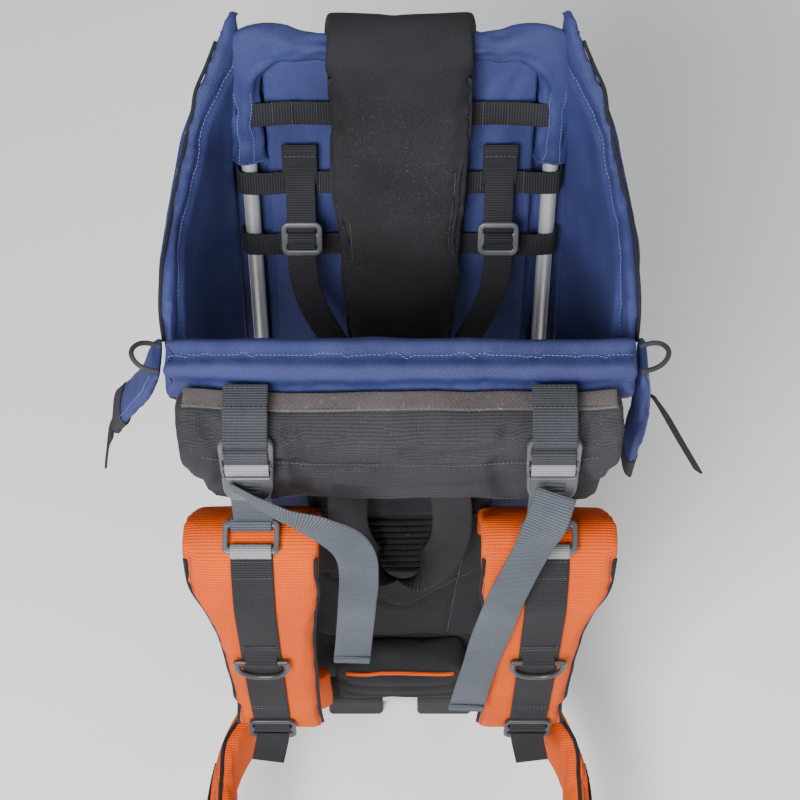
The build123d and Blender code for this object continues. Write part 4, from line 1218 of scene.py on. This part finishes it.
def makePadFittings(side):
    word = "Right" if side > 0 else "Left"
    v = ringValues
    ring = plateMesh("shoulderRing" + word, [roundedLoop(v["wide"], v["high"], 4), roundedLoop(32, 14.5, 2)],
                     v["thick"], 1.3, "mouldedGrey")
    x, y, z = v["middle"]
    addPlate("shoulderRing" + word, ring, place(side * x, y, z), (1, 0, 0), v["normal"], carrier,
             ["shoulder_rings"])
    normal = Vector(v["normal"]).normalized()
    down = Vector((0, -normal.z, normal.y))
    middle = place(side * x, y, z)
    for number, (shift, look) in enumerate(((-9.7, "greyWebbing"), (9.7, "paleWebbing"))):
        loop = [middle + down * (shift + d) / 1000 + normal * o / 1000
                for d, o in ((-4.5, -2.4), (-3.6, 1.2), (0, 3.2), (3.6, 1.2), (4.5, -2.4))]
        makeStrap(f"ringWrap{word}{number + 1}", loop, (1, 0, 0), 29, 1.8, look, carrier,
                  step=1.0)
    v = adjusterValues
    plate = plateMesh("lowerAdjuster" + word, [roundedLoop(v["wide"], v["high"], v["corner"]),
                                               roundedLoop(31, 6, 2, 0, 7), roundedLoop(31, 6, 2, 0, -5)],
                      v["thick"], 1.4, "mouldedBlack")
    low = place(side * 104, -106.4, 190)
    addPlate("lowerAdjuster" + word, plate, low, (1, 0, 0), (0, -1, 0.05), carrier,
             ["strap_adjusters"])
    wrap = [place(side * 104, y, z) for y, z in ((-103, 199.5), (-106.5, 198), (-109.4, 194), (-109, 190),
                                                 (-105, 188.4))]
    makeStrap("adjusterWrap" + word, wrap, (1, 0, 0), 29, 1.8, "blackWebbing", carrier,
              step=1.5)
    tail = [place(side * x, y, z) for x, y, z in ((104, -108.4, 184), (105, -112, 176), (107, -117, 168),
                                                  (109, -123, 161))]
    makeStrap("adjusterTail" + word, tail, (1, 0, 0.25 * side), 27, 1.9, "blackWebbing", carrier,
              wave=0.8, seed=30)
    k = keeperValues
    barY = -112.5
    front = [place(side * k["x"], barY + 3.3 * math.cos(math.radians(a)),
                   k["z"] + 3.3 * math.sin(math.radians(a)))
             for a in (20, -20, -60, -100, -140, 180, 140, 100)]
    tab = [place(side * k["x"], -109.9, k["z"] + dz) for dz in (9, 15, 24)]
    makeStrap("ringKeeper" + word, front + tab, (1, 0, 0), k["wide"], 1.5, "blackWebbing", carrier,
              ["d_ring_keepers"], step=1.5)


for side in (1, -1):
    makePadFittings(side)
print("shoulder pads made")

# ---- the wearer's side of the frame: back panel, elastic ladder, yoke and lumbar pad
backValues = {"half": 68, "ladderRows": 9, "ladderPitch": 9.5, "ladderMiddle": 350}


def makeBackDetails(v):
    for side in (1, -1):
        seam = [place(side * x, -60, z) for x, z in ((62, 505), (60, 430), (50, 340), (44, 260), (40, 195))]
        sew("backPanel", seam, (0, 1, 0), width=7, depth=2.0)
    vee = [place(x, -60, z) for x, z in ((-56, 300), (-30, 272), (0, 246), (30, 272), (56, 300))]
    sew("backPanel", vee, (0, 1, 0), width=8, depth=2.4)
    rows = []
    for i in range(v["ladderRows"]):
        z = v["ladderMiddle"] + (i - (v["ladderRows"] - 1) / 2) * v["ladderPitch"]
        rows.append([place(x, -24.6 - 0.5 * math.cos(x / 11), z) for x in range(-27, 28, 3)])
    base = [place(0, -22.4, z) for z in (308, 330, 350, 370, 392)]
    makeStrap("ladderBase", base, (1, 0, 0), 60, 1.6, "blackWebbing", carrier,
              ["back_ladder"])
    makeTubePiece("ladderBars", rows, 1.9, "blackCloth", carrier)
    makeRows("ladderRibs", rows, {"pitch": 2.2, "length": 7.2, "radius": 0.75, "turn": (90, 0, 0),
                                  "finish": "dustyBlack"}, carrier)
    for z in (448, 408):
        sew("harnessYoke", [place(x, -60, z) for x in (-60, -30, 0, 30, 60)], (0, 1, 0), width=5, depth=1.0)
    band = [place(x, -46.6, 160) for x in (-46, -20, 0, 20, 46)]
    trim = [cast(surfaces["lumbarPad"], p, (0, 1, 0), 0.4) for p in smoothPath(band, 0.004)]
    pressSeam(pads["lumbarPad"], trim, 5, 1.2)
    rope = makeTubePiece("lumbarTrim", [trim], 1.7, "orangeKnit", carrier)
    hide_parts("lumbar_trim")
    for z in (122, 140):
        sew("lumbarPad", [place(x, -60, z) for x in (-44, -20, 0, 20, 44)], (0, 1, 0), width=7, depth=1.6)


makeBackDetails(backValues)

# ---- grab handle: webbing that twists as it turns at the bottom
handleValues = {
    "route": [(36, -42, 461), (38, -45, 430), (35, -47, 392), (20, -48, 354), (2, -46, 336), (-17, -43, 346),
              (-31, -41, 376), (-38, -43, 420), (-37, -42, 461)],
    "side": [(1, 0, 0), (1, -0.1, 0), (0.95, -0.3, 0.2), (0.6, -0.5, 0.7), (0, -0.5, 1), (-0.6, -0.45, 0.8),
             (-1, -0.3, 0.3), (-1, -0.1, 0), (-1, 0, 0)],
}


def makeHandle(v):
    makeStrap("grabHandle", [place(*p) for p in v["route"]], v["side"], 29, 2.4, "blackWebbing", carrier,
              ["grab_handle"], wave=0.8, seed=11)


makeHandle(handleValues)

# ---- hip fins and belt
beltValues = {"z": 113, "wide": 30, "out": 159.3, "slope": 4 / 93}


def makeBelt(side, v):
    word = "Right" if side > 0 else "Left"
    name, body = "hipFin" + word, "hip_fin_" + word.lower()
    for z in (84, 142):
        line = [place(side * x, y, z) for x, y in ((96, -60), (128, -80), (152, -115), (157, -150),
                                                   (156, -190))]
        sew(name, line, (-side, 0.35, 0), width=6, depth=1.4)
    tree = surfaces[name]
    edge = []
    for z in (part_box("hip_fin_" + word.lower())[1].z * 1000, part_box("hip_fin_" + word.lower())[0].z * 1000):
        ends = z + (-9 if z > 100 else 9)
        run = smoothPath([place(side * x, y, z if y > -150 else z + (ends - z) * min(1, (-150 - y) / 50))
                          for x, y in ((80, -46), (112, -54), (140, -84), (149, -112), (148, -150),
                                       (147, -196))], 0.018)
        edge.append(smoothPath([nearest(tree, p, 0.2) for p in run], 0.004))
    makeTubePiece("finPiping" + word, edge, 1.7, "blackCloth", body)
    ys = (-112, -128, -150, -175, -200, -214, -228)
    route = []
    for y in ys:
        x = v["out"] - v["slope"] * (-112 - y)
        p = place(side * x, y, v["z"])
        if y > -205:
            p = cast(tree, place(side * 230, y, v["z"]), (-side, 0, 0), 1.5)
        route.append(p)
    makeStrap("hipStrap" + word, route, (0, 0, 1), v["wide"], 2, "blackWebbing", body,
              ["hip_strap_" + word.lower()], wave=0.4, seed=6)
    for y in (-118, -124):
        tack = [cast(tree, place(side * 230, y, v["z"] + a), (-side, 0, 0), 2.8) for a in (-12, -4, 4, 12)]
        threads.setdefault((body, "sewingThread"), []).append(tack)


for side in (1, -1):
    makeBelt(side, beltValues)
print("back and hip belt made")

# ---- child harness: straps with a doubled top, sliders, buckle strap
harnessValues = {
    "x": 74, "wide": 22, "thick": 2, "low": 370.5,
    "route": [(74, 190.7, 556), (74, 168.5, 513), (74, 148, 474), (66, 132, 447), (42, 110, 407),
              (20, 88.5, 370.5)],
    "side": [(1, 0, 0), (1, 0, 0), (1, 0, 0), (0.95, 0.1, 0.3), (0.8, 0.1, 0.6), (0.8, 0.1, 0.6)],
}


def makeHarness(side, v):
    word = "Right" if side > 0 else "Left"
    route = [place(side * x, y, z) for x, y, z in v["route"]]
    sides = [(x, y, -side * abs(z)) for x, y, z in v["side"]]
    makeStrap("harnessStrap" + word, route, sides, v["wide"], v["thick"], "blackWebbing", carrier,
              ["child_harness_straps"], wave=0.8, seed=12)
    top = [onLean(side * v["x"], z, o) for z, o in ((566, 6.0), (562, 8.4), (550, 8.0), (532, 7.6))]
    makeStrap("harnessFold" + word, top, (1, 0, 0), v["wide"] + 4, 1.8, "blackWebbing", carrier)
    for z in (558, 536):
        tack = [onLean(side * v["x"] + a, z, 9.6) for a in (-10, -3, 3, 10)]
        threads.setdefault((carrier, "sewingThread"), []).append(tack)


for side in (1, -1):
    makeHarness(side, harnessValues)


def makeCrotchStrap():
    low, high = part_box("crotch_strap")
    across = (low.x + high.x) / 2
    route = [Vector((across, low.y + 0.0012, low.z)),
             Vector((across, (low.y + high.y) / 2, (low.z + high.z) / 2)),
             Vector((across, high.y - 0.0012, high.z))]
    makeStrap("crotchStrap", route, (1, 0, 0), 30, 2, "blackWebbing", carrier,
              ["crotch_strap"])


makeCrotchStrap()


def makeSlider(side):
    word = "Right" if side > 0 else "Left"
    node = "harness_slider_" + word.lower()
    low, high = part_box(node)
    run = Vector((0, 146 - 190.7, 470 - 556)).normalized()
    front = Vector((0, run.z, -run.y))
    plate = plateMesh("harnessSlider" + word, [roundedLoop(31, 27, 6), roundedLoop(22.6, 5, 1.6, 0, 6.6),
                                               roundedLoop(22.6, 5, 1.6, 0, -6.6)], 3.4, 1.3, "mouldedGrey")
    middle = (low + high) / 2
    addPlate("harnessSlider" + word, plate, middle + front * 0.0022, (1, 0, 0), front, node,
             [node])
    back = plateMesh("sliderKeeper" + word, [roundedLoop(30, 6, 2)], 2.6, 1.0, "mouldedBlack")
    addPlate("sliderKeeper" + word, back, middle - front * 0.0030, (1, 0, 0), front, node)
    loop = [middle + run * (d / 1000) + front * (o / 1000)
            for d, o in ((-4.6, 0.8), (-3.6, 3.6), (0, 5.2), (3.6, 3.6), (4.6, 0.8))]
    makeStrap("sliderWrap" + word, loop, (1, 0, 0), 21.6, 1.5, "blackWebbing", node,
              step=1.0)


for side in (1, -1):
    makeSlider(side)
print("child harness made")

# ---- lower straps from the tube, side straps on the wings, loose ends
lowerValues = {"grip": 9.9, "z": 174, "wide": 30}


def makeLowerStraps(side, v):
    word = "Right" if side > 0 else "Left"
    loop = [place(side * (112 + v["grip"] * math.cos(math.radians(a))),
                  v["grip"] * math.sin(math.radians(a)), v["z"])
            for a in (-60, -20, 20, 60, 100, 140, 180, 220, 250)]
    run = [place(side * x, y, z) for x, y, z in ((109.5, -18, 174), (109, -40, 174.5), (108.4, -66, 175.6),
                                                 (108, -83.7, 176))]
    makeStrap("lowerStrap" + word, loop + run, (0, 0, 1), v["wide"], 2, "blackWebbing", carrier,
              ["lower_straps"], wave=0.8, seed=15, step=2)


sideStrapValues = {"route": [(50, 440), (38, 408), (26, 376), (12, 338)], "wide": 24, "plateAt": (31, 389)}


def makeSideStrap(side, v):
    word = "Right" if side > 0 else "Left"
    tree = surfaces["wing" + word]
    route = [cast(tree, place(side * 230, y, z), (-side, 0, 0), 1.3) for y, z in v["route"]]
    makeStrap("sideStrap" + word, route, (0, 1, -0.37), v["wide"], 2, "blackWebbing", carrier,
              ["side_straps"], step=4)
    plate = plateMesh("sideAdjuster" + word, [roundedLoop(30, 38, 6), roundedLoop(24.6, 7, 2, 0, 8),
                                              roundedLoop(24.6, 7, 2, 0, -6)], 4, 1.4, "mouldedBlack")
    y, z = v["plateAt"]
    spot = cast(tree, place(side * 230, y, z), (-side, 0, 0), 4.6)
    addPlate("sideAdjuster" + word, plate, spot, (0, 1, -0.37), (side, 0, 0), carrier,
             ["strap_adjusters"])


endValues = {
    "right": {"route": [(175.5, 0, 524), (184, -9, 516), (197, -24, 500), (209, -38, 486)],
              "side": (0.4, -1, 0.4)},
    "left": {"route": [(-202.5, -6, 494), (-207, -6, 482), (-210.5, -6, 466), (-213, -6, 452)],
             "side": (0, 1, 0)},
}


def makeLooseEnd(word, v):
    makeStrap("looseEnd" + word.capitalize(), [place(*p) for p in v["route"]], v["side"], 20, 1.9,
              "blackWebbing",
              carrier, ["loose_strap_ends"], wave=0.8, seed=20)


for side in (1, -1):
    makeLowerStraps(side, lowerValues)
    makeSideStrap(side, sideStrapValues)
for word, v in endValues.items():
    makeLooseEnd(word, v)
print("small straps made")

# ---- front lining of the cockpit, seat seams, storage bag zip
liningValues = {"half": 103, "low": 205, "high": 544, "thick": 4.5}


def makeLining(v):
    def spot(u, w):
        x = (2 * u - 1) * v["half"]
        z = v["low"] + w * (v["high"] - v["low"])
        fold = noise.noise(Vector((x * 0.022, z * 0.012, 31))) + 0.4 * noise.noise(Vector((x * 0.07,
                                                                                           z * 0.04, 4)))
        hold = min(1, 8 * min(u, 1 - u, w, 1 - w))
        corner = max(0, abs(x) / v["half"] - 0.72) / 0.28 * max(0, w - 0.9) / 0.1
        return place(x * (1 - 0.06 * corner), 1.4 * fold * hold, z)
    makeQuilt("frontLining", spot, Vector((0, -1, 0)), v["thick"], 60, 90, "blueTwill",
              ["front_lining"])


makeLining(liningValues)
seamValues = {
    "seatAt": (-36, 0, 36), "seatTop": 320, "seatRun": (12, 45, 80, 112),
    "bagPost": ((82, 200, 190), (84, 200, 130), (82, 200, 70)), "bagLid": 172, "bagHalf": 80,
}
for x in seamValues["seatAt"]:
    line = [place(x, y, seamValues["seatTop"]) for y in seamValues["seatRun"]]
    sew("seatCushion", line, (0, 0, -1), width=8, depth=2.2)
for side in (1, -1):
    post = [place(side * x, y, z) for x, y, z in seamValues["bagPost"]]
    sew("storageBag", post, (0, -1, 0), width=8, depth=2.0)
lid = [place(x, 200, seamValues["bagLid"]) for x in range(-seamValues["bagHalf"],
                                                          seamValues["bagHalf"] + 1, 16)]
sew("storageBag", lid, (0, -1, 0), width=7, depth=1.6)

zipValues = {"z": 140, "half": 90, "tape": 24, "tooth": 2.4}


def makeZip(v):
    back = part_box("storage_zip")[0].y * 1000 - tubePlane * 1000
    line = [place(x, back + 0.9, v["z"]) for x in (-v["half"], -45, 0, 45, v["half"])]
    makeStrap("zipTape", line, (0, 0, 1), v["tape"], 1.5, "blackWebbing", carrier,
              ["storage_zip"])
    rows = [[place(x, back + 2.2, v["z"] + shift) for x in (-v["half"] + 2,
                                                            v["half"] - 2)] for shift in (-0.9, 0.9)]
    makeRows("zipTeeth", rows, {"pitch": v["tooth"], "length": 3.2, "radius": 0.75, "turn": (90, 0, 0),
                                "finish": "mouldedBlack"}, carrier)


makeZip(zipValues)
print("lining and storage bag made")

# ---- all padded pieces ride their bodies and stand for their blocks
for name, v in padValues.items():
    ridesOn(pads[name], v.get("body", carrier), [v["node"]])

# ---- every stitch line sewn at once
stitchValues = {"pitch": 3.0, "length": 2.2, "radius": 0.32}
for number, ((body, thread), lines) in enumerate(threads.items()):
    makeRows(f"stitches{number + 1}", lines, {**stitchValues, "finish": thread}, body)
print("stitches sewn")

# ---- finishes of the hard parts
hardParts = {
    "satinTube": ["main_frame_tube", "rear_frame_tube", "kickstand_tube"],
    "mouldedBlack": ["frame_clamps", "hinge_brackets", "kickstand_knuckles", "harness_buckle_body",
                     "zip_slider",
                     "hip_buckle_socket", "hip_buckle_plug", "d_ring_left", "d_ring_right"],
    "redButton": ["harness_buckle_button"],
    "boltSteel": ["clamp_screws", "pivot_bolts"],
    "footRubber": ["base_feet", "kickstand_feet"],
}
for finish, names in hardParts.items():
    for node in names:
        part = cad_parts[node]
        part.data.materials.clear()
        part.data.materials.append(finishes[finish])

# ---- floor and lights
lightValues = {
    "key": {"at": (-560, -1350, 1650), "size": 0.9, "power": 80},
    "fill": {"at": (1200, -1000, 1300), "size": 1.8, "power": 14},
    "back": {"at": (200, 1500, 1700), "size": 1.6, "power": 12},
}


def makeFloor():
    floor = addObject("floor", bpy.data.meshes.new("floor"))
    floor.data.from_pydata([(-4, -4, 0), (4, -4, 0), (4, 4, 0), (-4, 4, 0)], [], [(0, 1, 2, 3)])
    material, nodes, links, shader = shaderParts("paleFloor")
    shader.inputs["Base Color"].default_value = (0.9, 0.9, 0.9, 1)
    shader.inputs["Roughness"].default_value = 0.8
    floor.data.materials.append(material)


def makeLight(name, v):
    lamp = bpy.data.lights.new(name, "AREA")
    lamp.energy = v["power"]
    lamp.size = v["size"]
    light = addObject(name, lamp)
    light.location = place(*v["at"])
    aim = place(0, 0, 420) - light.location
    light.rotation_euler = aim.to_track_quat("-Z", "Y").to_euler()


makeFloor()
for name, v in lightValues.items():
    makeLight(name, v)
sky = bpy.data.worlds.new("softSky")
sky.use_nodes = True
sky.node_tree.nodes["Background"].inputs["Color"].default_value = (0.95, 0.97, 1.0, 1)
sky.node_tree.nodes["Background"].inputs["Strength"].default_value = 0.26
bpy.context.scene.world = sky
print("floor and lights placed")
